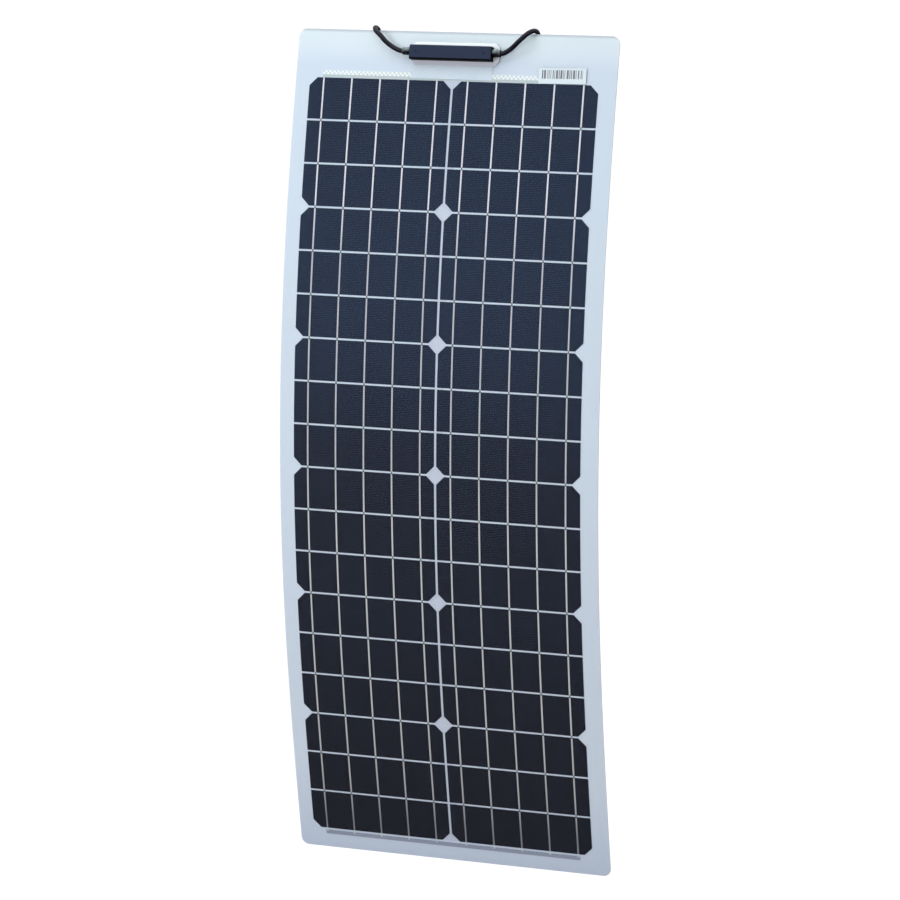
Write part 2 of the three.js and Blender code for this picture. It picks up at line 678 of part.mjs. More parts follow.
// A round tube along points, closed at both ends, whose ends are square to its first and last steps.
function tube(points, radius, sides) {
  const positions = [];
  const index = [];
  const across = new THREE.Vector3();
  const beside = new THREE.Vector3();
  points.forEach((point, i) => {
    const before = points[Math.max(i - 1, 0)];
    const after = points[Math.min(i + 1, points.length - 1)];
    const heading = after.clone().sub(before).normalize();
    beside.crossVectors(heading, new THREE.Vector3(0, 1, 0)).normalize();
    across.crossVectors(beside, heading);
    for (let k = 0; k < sides; k++) {
      const angle = (2 * Math.PI * (k + 0.5)) / sides;
      const ring = point.clone();
      ring.addScaledVector(beside, radius * Math.cos(angle));
      ring.addScaledVector(across, radius * Math.sin(angle));
      positions.push(...ring.toArray());
    }
  });
  for (let i = 0; i + 1 < points.length; i++) {
    for (let k = 0; k < sides; k++) {
      const a = i * sides + k;
      const b = i * sides + ((k + 1) % sides);
      index.push(a, a + sides, b, b, a + sides, b + sides);
    }
  }
  const last = (points.length - 1) * sides;
  for (let k = 1; k + 1 < sides; k++) {
    index.push(0, k, k + 1);
    index.push(last, last + k + 1, last + k);
  }
  const geometry = new THREE.BufferGeometry();
  geometry.setAttribute('position', new THREE.Float32BufferAttribute(positions, 3));
  geometry.setIndex(index);
  return geometry;
}

// Least distance between stretches of a line that lie well apart along it, less its diameter.
function leastGap(points) {
  const wellApart = 6 * LEAD_DIAMETER;
  let least = Infinity;
  const along = [0];
  for (let i = 1; i < points.length; i++) {
    along.push(along[i - 1] + points[i].distanceTo(points[i - 1]));
  }
  for (let i = 0; i < points.length; i++) {
    for (let k = i + 1; k < points.length; k++) {
      if (along[k] - along[i] > wellApart) {
        least = Math.min(least, points[i].distanceTo(points[k]) - LEAD_DIAMETER);
      }
    }
  }
  return least;
}

// A tie round the coil's strands, at the side of the coil nearer the box.
function tieGeometry(side) {
  const radii = [];
  const firstPass = 0.75;
  for (let turn = firstPass; turn < COIL_TURNS; turn++) {
    radii.push(coilRadius(turn));
  }
  const room = LEAD_DIAMETER / 2 + TIE_CLEARANCE;
  const near = -side * (Math.min(...radii) - room);
  const far = -side * (Math.max(...radii) + room);
  const [left, right] = [Math.min(near, far), Math.max(near, far)];
  const front = -coilStep - room;
  const back = room;
  const band = rectangle(left - TIE_WALL, front - TIE_WALL, right + TIE_WALL, back + TIE_WALL);
  band.holes.push(new THREE.Path([
    new THREE.Vector2(left, front),
    new THREE.Vector2(left, back),
    new THREE.Vector2(right, back),
    new THREE.Vector2(right, front),
  ]));
  const loop = new THREE.ExtrudeGeometry(band, { depth: TIE_WIDTH, bevelEnabled: false });
  loop.translate(0, 0, -TIE_WIDTH / 2);
  const head = new THREE.BoxGeometry(TIE_HEAD, TIE_HEAD, TIE_HEAD);
  head.translate((left + right) / 2, back + TIE_WALL / 2 + TIE_HEAD / 2, 0);
  return geometryOf(solid(loop).add(solid(head)));
}

// Connector halves, along the lead that runs into them. The left one ends in a nose with its
// contact flush in the face, and the right one in a sleeve that takes such a nose.

const plugTail = [
  [0, 0],
  [PLUG_NUT_RADIUS - PLUG_NUT_TAPER, 0],
  [PLUG_NUT_RADIUS, PLUG_NUT_TAPER_LENGTH],
  [PLUG_NUT_RADIUS, PLUG_NUT_LENGTH - PLUG_GROOVE],
  [PLUG_NUT_RADIUS - PLUG_GROOVE, PLUG_NUT_LENGTH],
  [PLUG_BODY_RADIUS, PLUG_NUT_LENGTH + PLUG_GROOVE],
  [PLUG_BODY_RADIUS, PLUG_NUT_LENGTH + PLUG_BODY_LENGTH],
];
const plugFront = PLUG_NUT_LENGTH + PLUG_BODY_LENGTH;
const shoulderEnd = plugFront + PLUG_SHOULDER_LENGTH;
const noseEnd = shoulderEnd + PLUG_NOSE_LENGTH;
const noseProfile = [
  ...plugTail,
  [PLUG_SHOULDER_RADIUS, plugFront],
  [PLUG_SHOULDER_RADIUS, shoulderEnd],
  [PLUG_NOSE_RADIUS, shoulderEnd],
  [PLUG_NOSE_RADIUS, noseEnd - PLUG_NOSE_EDGE],
  [PLUG_NOSE_RADIUS - PLUG_NOSE_EDGE, noseEnd],
  [0, noseEnd],
];
const sleeveInner = PLUG_NOSE_RADIUS + PLUG_NOSE_CLEARANCE;
const sleeveOuter = sleeveInner + PLUG_SLEEVE_WALL;
const sleeveEnd = plugFront + PLUG_SLEEVE_LENGTH;
const sleeveProfile = [
  ...plugTail,
  [sleeveOuter, plugFront],
  [sleeveOuter, sleeveEnd],
  [sleeveInner, sleeveEnd],
  [sleeveInner, plugFront],
  [PLUG_PIN_RADIUS, plugFront],
  [PLUG_PIN_RADIUS, plugFront + PLUG_PIN_LENGTH],
  [0, plugFront + PLUG_PIN_LENGTH],
];

const mouthX = boxX + GLAND_LENGTH + MEETING_GAP;
box.updateWorldMatrix(true, true);
const leads = new THREE.Group();

for (const [side, word, route, plugProfile] of [
  [-1, 'left', LEFT_ROUTE, noseProfile],
  [1, 'right', RIGHT_ROUTE, sleeveProfile],
]) {
  const lead = new THREE.Group();
  const mouth = new THREE.Vector3(side * mouthX, -glandDepth, GLAND_AXIS_RISE);
  lead.position.copy(box.localToWorld(mouth));
  leads.add(lead);

  const free = route.map(([outward, back, up]) => new THREE.Vector3(side * outward, back, up));
  const path = new THREE.CatmullRomCurve3(free, false, 'centripetal');
  const section = new THREE.Shape();
  for (let k = 0; k < LEAD_SIDES; k++) {
    const angle = (2 * Math.PI * k) / LEAD_SIDES;
    const x = (LEAD_DIAMETER / 2) * Math.cos(angle);
    const y = (LEAD_DIAMETER / 2) * Math.sin(angle);
    if (k === 0) section.moveTo(x, y);
    else section.lineTo(x, y);
  }
  const run = new THREE.ExtrudeGeometry(section, {
    steps: LEAD_STEPS,
    extrudePath: path,
    bevelEnabled: false,
  });
  lead.add(named(`lead_${word}`, run, leadBlack));

  // The coil hangs below the end of the free stretch, which meets it face to face.
  const start = free[free.length - 1].clone();
  start.x += side * (MEETING_GAP + LEAD_DIAMETER);
  const centre = start.clone();
  centre.z -= coilOuter;
  const steps = Math.round(COIL_TURNS * COIL_STEPS_PER_TURN);
  const wound = [new THREE.Vector3(start.x - side * LEAD_DIAMETER, start.y, start.z)];
  for (let i = 0; i <= steps; i++) {
    wound.push(coilPoint((i / steps) * COIL_TURNS, side).add(centre));
  }
  const end = wound[wound.length - 1].clone();
  end.z -= COIL_TAIL;
  wound.push(end);
  lead.add(named(`lead_${word}_coil`, tube(wound, LEAD_DIAMETER / 2, COIL_SIDES), leadBlack));

  const coiled = wound.slice(1).reduce((sum, point, i) => sum + point.distanceTo(wound[i]), 0);
  const length = (path.getLength() + coiled).toFixed(1);
  const gap = leastGap(wound).toFixed(2);
  console.log(`lead_${word}: length ${length}, least gap to itself ${gap}`);

  const tie = named(`tie_${word}`, tieGeometry(side), plugBlack);
  tie.position.copy(centre);
  lead.add(tie);

  const plug = named(`plug_${word}`, turned(plugProfile, ROUND_SIDES), plugBlack);
  plug.position.set(end.x, end.y, end.z - MEETING_GAP);
  plug.rotation.y = Math.PI / 2;
  lead.add(plug);
}

const group = new THREE.Group();
for (const facet of facets) {
  sheet.add(facet.group);
}
group.add(sheet, leads);

export default group;
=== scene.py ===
"""Looks of the flexible solar sheet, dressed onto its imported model.

Sizes are written in millimetres and used in metres. X runs along the sheet's width, Z is up,
and the cells face -Y. Most pieces are first built flat, with X across, Z up the sheet and -Y out
of its front, and are then bent onto the bow.
"""

import math
import random

import bmesh
import bpy
from mathutils import Matrix, Vector


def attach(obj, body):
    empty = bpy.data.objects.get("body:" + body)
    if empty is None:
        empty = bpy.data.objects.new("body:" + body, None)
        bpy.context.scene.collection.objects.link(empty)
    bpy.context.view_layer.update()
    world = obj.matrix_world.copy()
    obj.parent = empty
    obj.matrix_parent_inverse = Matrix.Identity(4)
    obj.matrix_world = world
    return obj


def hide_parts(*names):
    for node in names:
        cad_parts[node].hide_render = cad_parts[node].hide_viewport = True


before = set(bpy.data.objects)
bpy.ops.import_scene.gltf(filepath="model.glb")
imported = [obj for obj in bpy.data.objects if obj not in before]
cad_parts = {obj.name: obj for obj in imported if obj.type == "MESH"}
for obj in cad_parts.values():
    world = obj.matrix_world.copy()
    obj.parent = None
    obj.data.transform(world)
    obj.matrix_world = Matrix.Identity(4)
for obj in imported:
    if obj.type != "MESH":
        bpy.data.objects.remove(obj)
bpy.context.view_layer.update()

MM = 0.001
SHEET = "sheet"

# Sheet and cells

WAFER_WIDTH = 156.75 * MM
WAFER_CHAMFER = 8.5 * MM
SLICE_HEIGHT = 43.2 * MM
SLICES_PER_WAFER = 3
SLICE_GAP = 1.97 * MM
COLUMN_GAP = 2.5 * MM
ROWS = 18
CELL_THICKNESS = 0.25 * MM
RIBBONS_PER_CELL = 5
FINGERS_PER_SLICE = 24
RIBBON_WIDTH = 1.8 * MM
RIBBON_PROUD = 0.15 * MM
RIBBON_BEAD_PITCH = 2.1 * MM
RIBBON_BEAD_RISE = 0.03 * MM
RIBBON_START = 0.6 * MM
RIBBON_END = 0.4 * MM
STRAP_HALF_WIDTH = 0.44 * RIBBON_WIDTH
STRAP_THICKNESS = 0.12 * MM
STRAP_LIFT = 0.02 * MM
STRAP_BEND = 1.1 * MM
STRAP_ON_BUS = 1.5 * MM
SHEET_WIDTH = 351 * MM
CELLS_SHIFT = -1.45 * MM
TOP_MARGIN = 50.5 * MM
BOTTOM_MARGIN = 22.6 * MM
SHEET_CORNER = 8.5 * MM
END_TILT = math.radians(11.75)
BACK_SHEET_THICKNESS = 1.5 * MM
ENCAPSULANT_SKIN = 0.2 * MM
FRONT_FILM_THICKNESS = 0.3 * MM
LAYER_GAP = 0.1 * MM

# Gathering ribbons, their cover and the label

BUS_WIDTH = 4.5 * MM
DIMPLE_PITCH = 4.6 * MM
BUS_THICKNESS = 0.25 * MM
BUS_OVERHANG = 0.8 * MM
UPPER_BUS_GAP = 3.2 * MM
LOWER_BUS_GAP = 2.3 * MM
BUS_COVER_WIDTH = 88.5 * MM
BUS_COVER_SHIFT = -1.3 * MM
BUS_COVER_THICKNESS = 0.1 * MM
BUS_COVER_HEM = 1.4 * MM
LABEL_WIDTH = 51 * MM
LABEL_HEIGHT = 16 * MM
LABEL_THICKNESS = 0.15 * MM
LABEL_INSET = 32.5 * MM
LABEL_ABOVE_CELLS = 0.4 * MM
LABEL_TURN = math.radians(0.8)
LABEL_CORNER = 0.8 * MM
BARS_FROM_LEFT = 3.5 * MM
BARS_FROM_RIGHT = 3.8 * MM
BARS_FROM_BOTTOM = 5.1 * MM
BARS_FROM_TOP = 2 * MM
BAR_WIDTHS = (0.7 * MM, 1.0 * MM, 1.4 * MM, 2.1 * MM)
BAR_GAPS = (0.8 * MM, 1.1 * MM, 1.6 * MM)
INK_THICKNESS = 0.02 * MM

# Junction box

BOX_SHIFT = -0.8 * MM
BOX_BELOW_EDGE = 22.7 * MM
BOX_LENGTH = 89 * MM
BOX_WIDTH = 15 * MM
BOX_WALL = 1.4 * MM
BOX_FLOOR = 1.2 * MM
SEALANT_LENGTH = 96.3 * MM
SEALANT_WIDTH = 23.6 * MM
SEALANT_THICKNESS = 1 * MM
SEALANT_CHAMFER = 4.5 * MM
SEALANT_SHIFT = 2.3 * MM
SEALANT_RIM = 0.2 * MM
SEALANT_RIM_FRONT = 0.35 * MM
SEALANT_STEP = 2 * MM
SEALANT_WANDER = 0.15 * MM
BEAD_RISE = 0.7 * MM
BEAD_UNDER_BOX = 0.3 * MM
TERMINAL_INNER_X = 14 * MM
TERMINAL_LENGTH = 20 * MM
TERMINAL_THICKNESS = 0.8 * MM
DIODE_RADIUS = 2 * MM
DIODE_LENGTH = 9 * MM
DIODE_LEAD_RADIUS = 0.6 * MM
DIODE_LEAD_PAST_TERMINAL = 0.8 * MM
DIODE_BAND_PROUD = 0.03 * MM
DIODE_BAND_START = 2.4 * MM
DIODE_BAND_END = 1.2 * MM
CORE_SLEEVE_RADIUS = 1.4 * MM
CORE_WIRE_RADIUS = 0.9 * MM
CORE_ON_TERMINAL = 4 * MM
GLAND_LENGTH = 9 * MM
GLAND_RADIUS = 4.1 * MM
GLAND_NECK_RADIUS = 3.5 * MM
GLAND_NECK_LENGTH = 1 * MM
GLAND_COLLAR_RADIUS = 3.9 * MM
GLAND_COLLAR_LENGTH = 2.4 * MM
GLAND_GROOVE_WIDTH = 0.5 * MM
GLAND_STUB_RADIUS = 2.5 * MM
GLAND_RIBS = 24
GLAND_RIB_DEPTH = 0.12 * MM
GLAND_SEAL_RADIUS = 3.1 * MM
GLAND_SEAL_TIP_RADIUS = 2.7 * MM
GLAND_SEAL_STRAIGHT = 0.2 * MM
GLAND_SEAL_PROUD = 0.5 * MM
GLAND_AXIS_UP = 4.1 * MM
GLAND_AXIS_RISE = 1.1 * MM
MEETING_GAP = 0.3 * MM

# Leads

LEAD_DIAMETER = 5 * MM
COIL_MIDDLE_RADIUS = 29 * MM
COIL_TURNS = 4.25
COIL_TURN_GAP = 0.45 * MM
COIL_STEPS_PER_TURN = 24
COIL_TAIL = 28 * MM
TIE_WALL = 1.2 * MM
TIE_WIDTH = 3.6 * MM
TIE_CLEARANCE = 0.35 * MM
TIE_HEAD = 5 * MM
TIE_CORNER = 2.2 * MM
TIE_TAIL = 3.5 * MM
TIE_TAIL_PAST_HEAD = 0.4 * MM
TIE_TAIL_SHARE = 0.45
TIE_PASSES = (0.75, 1.75, 2.75, 3.75)
NUT_LENGTH = 15 * MM
NUT_RADIUS = 7.6 * MM
NUT_TAPER = 2 * MM
NUT_TAPER_LENGTH = 4 * MM
NUT_FLUTES = 10
NUT_FLUTE_DEPTH = 0.7 * MM
PLUG_GROOVE = 1 * MM
PLUG_BODY_LENGTH = 24 * MM
PLUG_BODY_RADIUS = 8.2 * MM
PLUG_BODY_FLAT = 1.1 * MM
PLUG_SEAL_RADIUS = 3.3 * MM
PLUG_SEAL_TIP_RADIUS = 2.8 * MM
PLUG_SEAL_PROUD = 0.5 * MM
SHOULDER_LENGTH = 4 * MM
SHOULDER_RADIUS = 9 * MM
NOSE_LENGTH = 15 * MM
NOSE_RADIUS = 5.2 * MM
RING_SHARE = 0.3
RING_GROOVE = 0.7 * MM
RING_WIDTH = 2 * MM
RING_THICKNESS = 0.85 * MM
CONTACT_RADIUS = 2 * MM
CONTACT_PROUD = 0.05 * MM
LATCH_INNER = 6.4 * MM
LATCH_OUTER = 7.9 * MM
LATCH_HALF_WIDTH = 2.2 * MM
LATCH_REACH = 11.5 * MM
LATCH_BARB_AT = 8 * MM
LATCH_BARB_HEIGHT = 0.8 * MM
LATCH_BARB_SLOPE = 0.6 * MM
SLEEVE_INNER_RADIUS = 5.8 * MM
SLEEVE_WALL = 2 * MM
SLEEVE_LENGTH = 17 * MM
SLEEVE_FLOOR = 0.2 * MM
CATCH_START = 4 * MM
CATCH_END = 7 * MM
CATCH_HALF_WIDTH = 2.6 * MM
CATCH_SUNK = 0.4 * MM
CATCH_PROUD = 0.7 * MM
PIN_RADIUS = 1.5 * MM
PIN_LENGTH = 2.5 * MM

# Free stretch of each lead: outward, back and up from the gland's mouth, in millimetres.
LEFT_ROUTE = [
    (0, 0, 0), (1.5, 0, 0), (4.8, 0.2, 0.8), (9, 0.5, 2.6), (13, 0.5, 4.8), (16.6, -0.3, 7.5),
    (19.9, -1, 10.6), (23, -0.9, 14), (26.5, -0.3, 17.2), (29.9, 1.3, 19.7), (32.4, 4.5, 21.8),
    (33.7, 8.8, 22.6), (33.9, 13.3, 21.9), (33.6, 17.1, 19.4), (33.9, 19.6, 15.4), (35.4, 20.4, 11),
    (38, 20.5, 7.2), (41.1, 20.6, 3.9), (44.8, 20.7, 1.3), (48.9, 20.7, -0.7), (53.4, 20.7, -1.8),
    (57.9, 20.7, -2.2), (62.5, 20.7, -2.2),
]
RIGHT_ROUTE = [
    (0, 0, 0), (1.5, 0, 0), (4.7, 0.2, 1.2), (8.5, 0.7, 3.6), (12.2, 0.5, 6.4), (15.5, -0.6, 9.2),
    (18.9, -1.3, 12.3), (22.2, -0.9, 15.4), (25.6, 0.1, 18.6), (28.7, 2.6, 21.4), (31.1, 6.2, 22.9),
    (32.6, 10.6, 23.1), (33.3, 15, 21.7), (33.4, 18.4, 18.6), (33.6, 20.6, 14.6),
    (34.4, 21.1, 10.3), (36.2, 21.2, 6.3), (38.7, 21.2, 2.9), (41.9, 21.2, 0.2), (46, 21.2, -1.7),
    (50.4, 21.2, -2.9), (54.9, 21.2, -3.3), (59.5, 21.2, -3.3),
]

# Camera, floor and lamps: places in metres, angles in degrees and power in watts.
# Each lamp has a place, a target, a width, a height and a power.

CAMERA_LENS = 149.3
CAMERA_PLACE = (1.35935, -3.5388, 0.6319)
CAMERA_TURN = (80.5957, -0.301, 20.8617)
FLOOR_HEIGHT = -0.62
FLOOR_RADIUS = 25
SOFTBOXES = {
    "key": ((-0.5, -0.9, 1.9), (0, 0, 0.2), 1.2, 1.2, 12.6),
    "fill": ((-0.79, -2.05, 0.35), (0, 0, 0.1), 0.9, 1.0, 14.0),
    "rear": ((0.9, 1.8, 1.2), (0, 0, 0), 1.2, 1.2, 12),
}

# Worked out: distances along the sheet run down from the middle of the gap above the first row.

ROW_PITCH = SLICE_HEIGHT + SLICE_GAP
SHEET_TOP = SLICE_GAP / 2 - TOP_MARGIN
CELLS_TOP = SLICE_GAP / 2
CELLS_BOTTOM = ROWS * ROW_PITCH - SLICE_GAP / 2
SHEET_BOTTOM = CELLS_BOTTOM + BOTTOM_MARGIN
HOLD_ROW = (ROWS - 1) // 2
APEX = (HOLD_ROW + 0.5) * ROW_PITCH
COLUMN_X = (WAFER_WIDTH + COLUMN_GAP) / 2
RIBBON_SPACING = WAFER_WIDTH / RIBBONS_PER_CELL
RIBBON_OFFSETS = [(i - (RIBBONS_PER_CELL - 1) / 2) * RIBBON_SPACING for i in range(RIBBONS_PER_CELL)]

# Depths of the layers, forward from the back of the sheet

CELL_BACK = BACK_SHEET_THICKNESS + LAYER_GAP
CELL_FRONT = CELL_BACK + CELL_THICKNESS
RIBBON_FRONT = CELL_FRONT + RIBBON_PROUD
BUS_FRONT = CELL_BACK + BUS_THICKNESS
COVER_BACK = max(BUS_FRONT, RIBBON_FRONT) + LAYER_GAP
COVER_FRONT = COVER_BACK + BUS_COVER_THICKNESS
RESIN_BACK = COVER_FRONT + LAYER_GAP
RESIN_FRONT = RESIN_BACK + ENCAPSULANT_SKIN
FILM_BACK = RESIN_FRONT + LAYER_GAP
FILM_FRONT = FILM_BACK + FRONT_FILM_THICKNESS
SEALANT_BACK = FILM_FRONT + LAYER_GAP
SEALANT_FRONT = SEALANT_BACK + SEALANT_THICKNESS
BASE_BACK = SEALANT_FRONT + LAYER_GAP
GLAND_DEPTH = BASE_BACK + GLAND_AXIS_UP
BOX_FLOOR_FRONT = BASE_BACK + BOX_FLOOR
BOX_ALONG = SHEET_TOP + BOX_BELOW_EDGE

# Heights on the flat sheet, up from the middle of the gap above the first row

BOX_UP = -BOX_ALONG
UPPER_BUS_BOTTOM = UPPER_BUS_GAP - CELLS_TOP
UPPER_BUS_TOP = UPPER_BUS_BOTTOM + BUS_WIDTH
LOWER_BUS_TOP = -CELLS_BOTTOM - LOWER_BUS_GAP
LOWER_BUS_BOTTOM = LOWER_BUS_TOP - BUS_WIDTH
BUS_END = COLUMN_X + RIBBON_OFFSETS[-1] + RIBBON_WIDTH / 2 + BUS_OVERHANG
BUS_INNER = COLUMN_X + RIBBON_OFFSETS[0] - RIBBON_WIDTH / 2 - BUS_OVERHANG


# Objects in the scene, and the camera


def new_object(name, data):
    made = bpy.data.objects.new(name, data)
    bpy.context.scene.collection.objects.link(made)
    return made


def add_camera():
    """The camera at the photograph's viewing angle, a long lens slightly above and to the right."""
    data = bpy.data.cameras.new("camera")
    data.lens = CAMERA_LENS
    data.sensor_width = 36
    data.clip_start = 0.1
    data.clip_end = 100
    camera = new_object("camera", data)
    camera.location = CAMERA_PLACE
    camera.rotation_euler = [math.radians(angle) for angle in CAMERA_TURN]
    bpy.context.scene.camera = camera


# The bow


def tilt_at(along):
    """How far the sheet's front leans back at a place along it, as an angle."""
    share = (along - APEX) / ((SHEET_BOTTOM - SHEET_TOP) / 2)
    return -END_TILT * (1.5 * share - 0.5 * share**3)


def bow_corners():
    """The corners of the frame's flat facets on the sheet's back, as (along, y, z, tilt)."""
    stations = [SHEET_TOP, *(row * ROW_PITCH for row in range(ROWS + 1)), SHEET_BOTTOM]
    lengths = [after - before for before, after in zip(stations, stations[1:])]
    tilts = [tilt_at((before + after) / 2) for before, after in zip(stations, stations[1:])]
    hold = HOLD_ROW + 1
    places = {hold: Vector((0, lengths[hold] / 2))}
    for i in range(hold - 1, -1, -1):
        places[i] = places[i + 1] + lengths[i] * Vector((math.sin(tilts[i]), math.cos(tilts[i])))
    for i in range(hold, len(lengths)):
        places[i + 1] = places[i] - lengths[i] * Vector((math.sin(tilts[i]), math.cos(tilts[i])))
    # The end margins are straight, and every other corner takes the mean of its two facets.
    corner_tilts = [tilts[0], tilts[0]]
    corner_tilts += [(a + b) / 2 for a, b in zip(tilts[1:-1], tilts[2:-1])]
    corner_tilts += [tilts[-1], tilts[-1]]
    return [(stations[i], places[i].x, places[i].y, corner_tilts[i]) for i in range(len(stations))]


CORNERS = bow_corners()


def on_sheet(x, along, depth):
    """A point of the bowed sheet: across it from the cells' middle, down it, and forward from its back."""
    i = 0
    while i + 2 < len(CORNERS) and along > CORNERS[i + 1][0]:
        i += 1
    along_0, y_0, z_0, tilt_0 = CORNERS[i]
    along_1, y_1, z_1, tilt_1 = CORNERS[i + 1]
    length = along_1 - along_0
    t = (along - along_0) / length
    down_0 = Vector((-math.sin(tilt_0), -math.cos(tilt_0))) * length
    down_1 = Vector((-math.sin(tilt_1), -math.cos(tilt_1))) * length
    start, end = Vector((y_0, z_0)), Vector((y_1, z_1))
    if t < 0 or t > 1:
        edge, down = (start, down_0) if t < 0 else (end, down_1)
        place = edge + down * (t if t < 0 else t - 1)
    else:
        place = start * (2 * t**3 - 3 * t**2 + 1) + down_0 * (t**3 - 2 * t**2 + t)
        place = place + end * (3 * t**2 - 2 * t**3) + down_1 * (t**3 - t**2)
        down = (end - start) * 6 * (t - t**2) + down_0 * (3 * t**2 - 4 * t + 1) + down_1 * (3 * t**2 - 2 * t)
    down = down.normalized()
    front = Vector((down.y, -down.x))
    return Vector((x + CELLS_SHIFT, place.x + depth * front.x, place.y + depth * front.y))


def in_box(x, up, depth):
    """A point by its place across and above the box's middle."""
    return on_sheet(BOX_SHIFT + x, BOX_ALONG - up, depth)


# Building meshes


def bend(bm):
    """Moves a flat mesh onto the bow."""
    for v in bm.verts:
        v.co = on_sheet(v.co.x, -v.co.z, -v.co.y)


def lay_uv(bm):
    """Keeps each vertex's flat place, across and up the sheet, as the mesh's UV map."""
    layer = bm.loops.layers.uv.new("flat")
    for face in bm.faces:
        for loop in face.loops:
            loop[layer].uv = (loop.vert.co.x, loop.vert.co.z)


def make_piece(name, bm, materials, node=None, bent=True, smooth_angle=35):
    """A finished mesh object that rides on the sheet, and stands for a CAD node if one is given."""
    bmesh.ops.recalc_face_normals(bm, faces=bm.faces)
    lay_uv(bm)
    if bent:
        bend(bm)
    mesh = bpy.data.meshes.new(name)
    bm.to_mesh(mesh)
    bm.free()
    for material in materials:
        mesh.materials.append(material)
    mesh.polygons.foreach_set("use_smooth", [True] * len(mesh.polygons))
    mesh.set_sharp_from_angle(angle=math.radians(smooth_angle))
    piece = new_object(name, mesh)
    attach(piece, SHEET)
    if node:
        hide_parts(node)
    return piece


def slab(bm, outline, back, front, material_index=0):
    """A closed plate over an outline of (x, up) points, between two depths."""
    lower = [bm.verts.new((x, -back, up)) for x, up in outline]
    upper = [bm.verts.new((x, -front, up)) for x, up in outline]
    faces = [bm.faces.new(lower), bm.faces.new(upper[::-1])]
    count = len(outline)
    for i in range(count):
        k = (i + 1) % count
        faces.append(bm.faces.new((lower[i], upper[i], upper[k], lower[k])))
    for face in faces:
        face.material_index = material_index
    return faces


def bridge(bm, rings, material_index=0):
    """Faces between each closed ring of vertices and the next."""
    faces = []
    for a, b in zip(rings, rings[1:]):
        for k in range(len(a)):
            n = (k + 1) % len(a)
            faces.append(bm.faces.new((a[k], a[n], b[n], b[k])))
    for face in faces:
        face.material_index = material_index


def cut_up(bm, step):
    """Cuts a flat mesh into level strips, so that it can follow the bow."""
    ups = [v.co.z for v in bm.verts]
    first, last = math.floor(min(ups) / step), math.ceil(max(ups) / step)
    for i in range(first, last + 1):
        geometry = bm.verts[:] + bm.edges[:] + bm.faces[:]
        bmesh.ops.bisect_plane(bm, geom=geometry, plane_co=(0, 0, i * step), plane_no=(0, 0, 1), dist=1e-6)


def ease_edges(bm, width, segments=2, least_angle=25):
    """Rounds the sharp edges of a flat mesh."""
    least = math.radians(least_angle)
    sharp = [e for e in bm.edges if len(e.link_faces) == 2 and e.calc_face_angle(0) > least]
    bmesh.ops.bevel(bm, geom=sharp, offset=width, segments=segments, profile=0.6, affect="EDGES")


def rectangle(left, bottom, right, top):
    return [(left, bottom), (right, bottom), (right, top), (left, top)]


def rounded_rectangle(left, bottom, right, top, radius, steps=8):
    """A rectangle's outline with rounded corners, anticlockwise from its lower right."""
    outline = []
    corners = [(right - radius, bottom + radius), (right - radius, top - radius)]
    corners += [(left + radius, top - radius), (left + radius, bottom + radius)]
    for (x, up), start in zip(corners, (-90, 0, 90, 180)):
        for i in range(steps + 1):
            angle = math.radians(start + 90 * i / steps)
            outline.append((x + radius * math.cos(angle), up + radius * math.sin(angle)))
    return outline


def block(bm, low, high, material_index=0):
    """A closed block between two corners."""
    outline = rectangle(low[0], low[2], high[0], high[2])
    return slab(bm, outline, -high[1], -low[1], material_index)


def soften(profile, ease):
    """Cuts the inner corners of a (radius, along) profile."""
    points = [Vector(point) for point in profile]
    eased = [points[0]]
    for before, corner, after in zip(points, points[1:], points[2:]):
        for neighbour in (before, after):
            reach = neighbour - corner
            eased.append(corner + reach * min(ease / reach.length, 1 / 3))
    return [tuple(point) for point in (*eased, points[-1])]


def rod(radius, start, end):
    """The profile of a plain round bar."""
    return [(0, start), (radius, start), (radius, end), (0, end)]


def turn_profile(bm, profile, axis_point, axis, sides=48, lobes=None, material_index=0):
    """A turned solid from (radius, along) pairs that start and end on the axis.

    lobes, if given, maps (radius, along, angle) to the radius there.
    """
    axis = Vector(axis).normalized()
    across = axis.orthogonal().normalized()
    beside = axis.cross(across)
    rings = []
    for radius, along in profile:
        centre = Vector(axis_point) + axis * along
        if radius == 0:
            rings.append([bm.verts.new(centre)])
            continue
        ring = []
        for k in range(sides):
            angle = 2 * math.pi * k / sides
            reach = lobes(radius, along, angle) if lobes else radius
            ring.append(bm.verts.new(centre + reach * (math.cos(angle) * across + math.sin(angle) * beside)))
        rings.append(ring)
    for a, b in zip(rings, rings[1:]):
        for k in range(sides):
            n = (k + 1) % sides
            corners = [a[k % len(a)], a[n % len(a)], b[n % len(b)], b[k % len(b)]]
            unique = list(dict.fromkeys(corners))
            if len(unique) > 2:
                bm.faces.new(unique).material_index = material_index


# Building materials

RAMP_START = 0.1
RAMP_SPAN = 0.8


def add_node(tree, kind, inputs=None, **settings):
    """A shader node with its settings, and each named or numbered input given a value or a link."""
    node = tree.nodes.new("ShaderNode" + kind)
    for key, value in settings.items():
        setattr(node, key, value)
    for key, value in (inputs or {}).items():
        if isinstance(value, bpy.types.NodeSocket):
            tree.links.new(value, node.inputs[key])
        else:
            node.inputs[key].default_value = value
    return node


def math_node(tree, operation, *values):
    node = add_node(tree, "Math", dict(enumerate(values)), operation=operation)
    return node.outputs[0]


def times(tree, first, second):
    return math_node(tree, "MULTIPLY", first, second)


def mix_colours(tree, share, first, second, blend_type="MIX"):
    """Blends two colours, each a socket or an RGB triple."""
    inputs = {0: share}
    for index, value in ((6, first), (7, second)):
        inputs[index] = value if isinstance(value, bpy.types.NodeSocket) else (*value, 1)
    return add_node(tree, "Mix", inputs, data_type="RGBA", blend_type=blend_type).outputs[2]


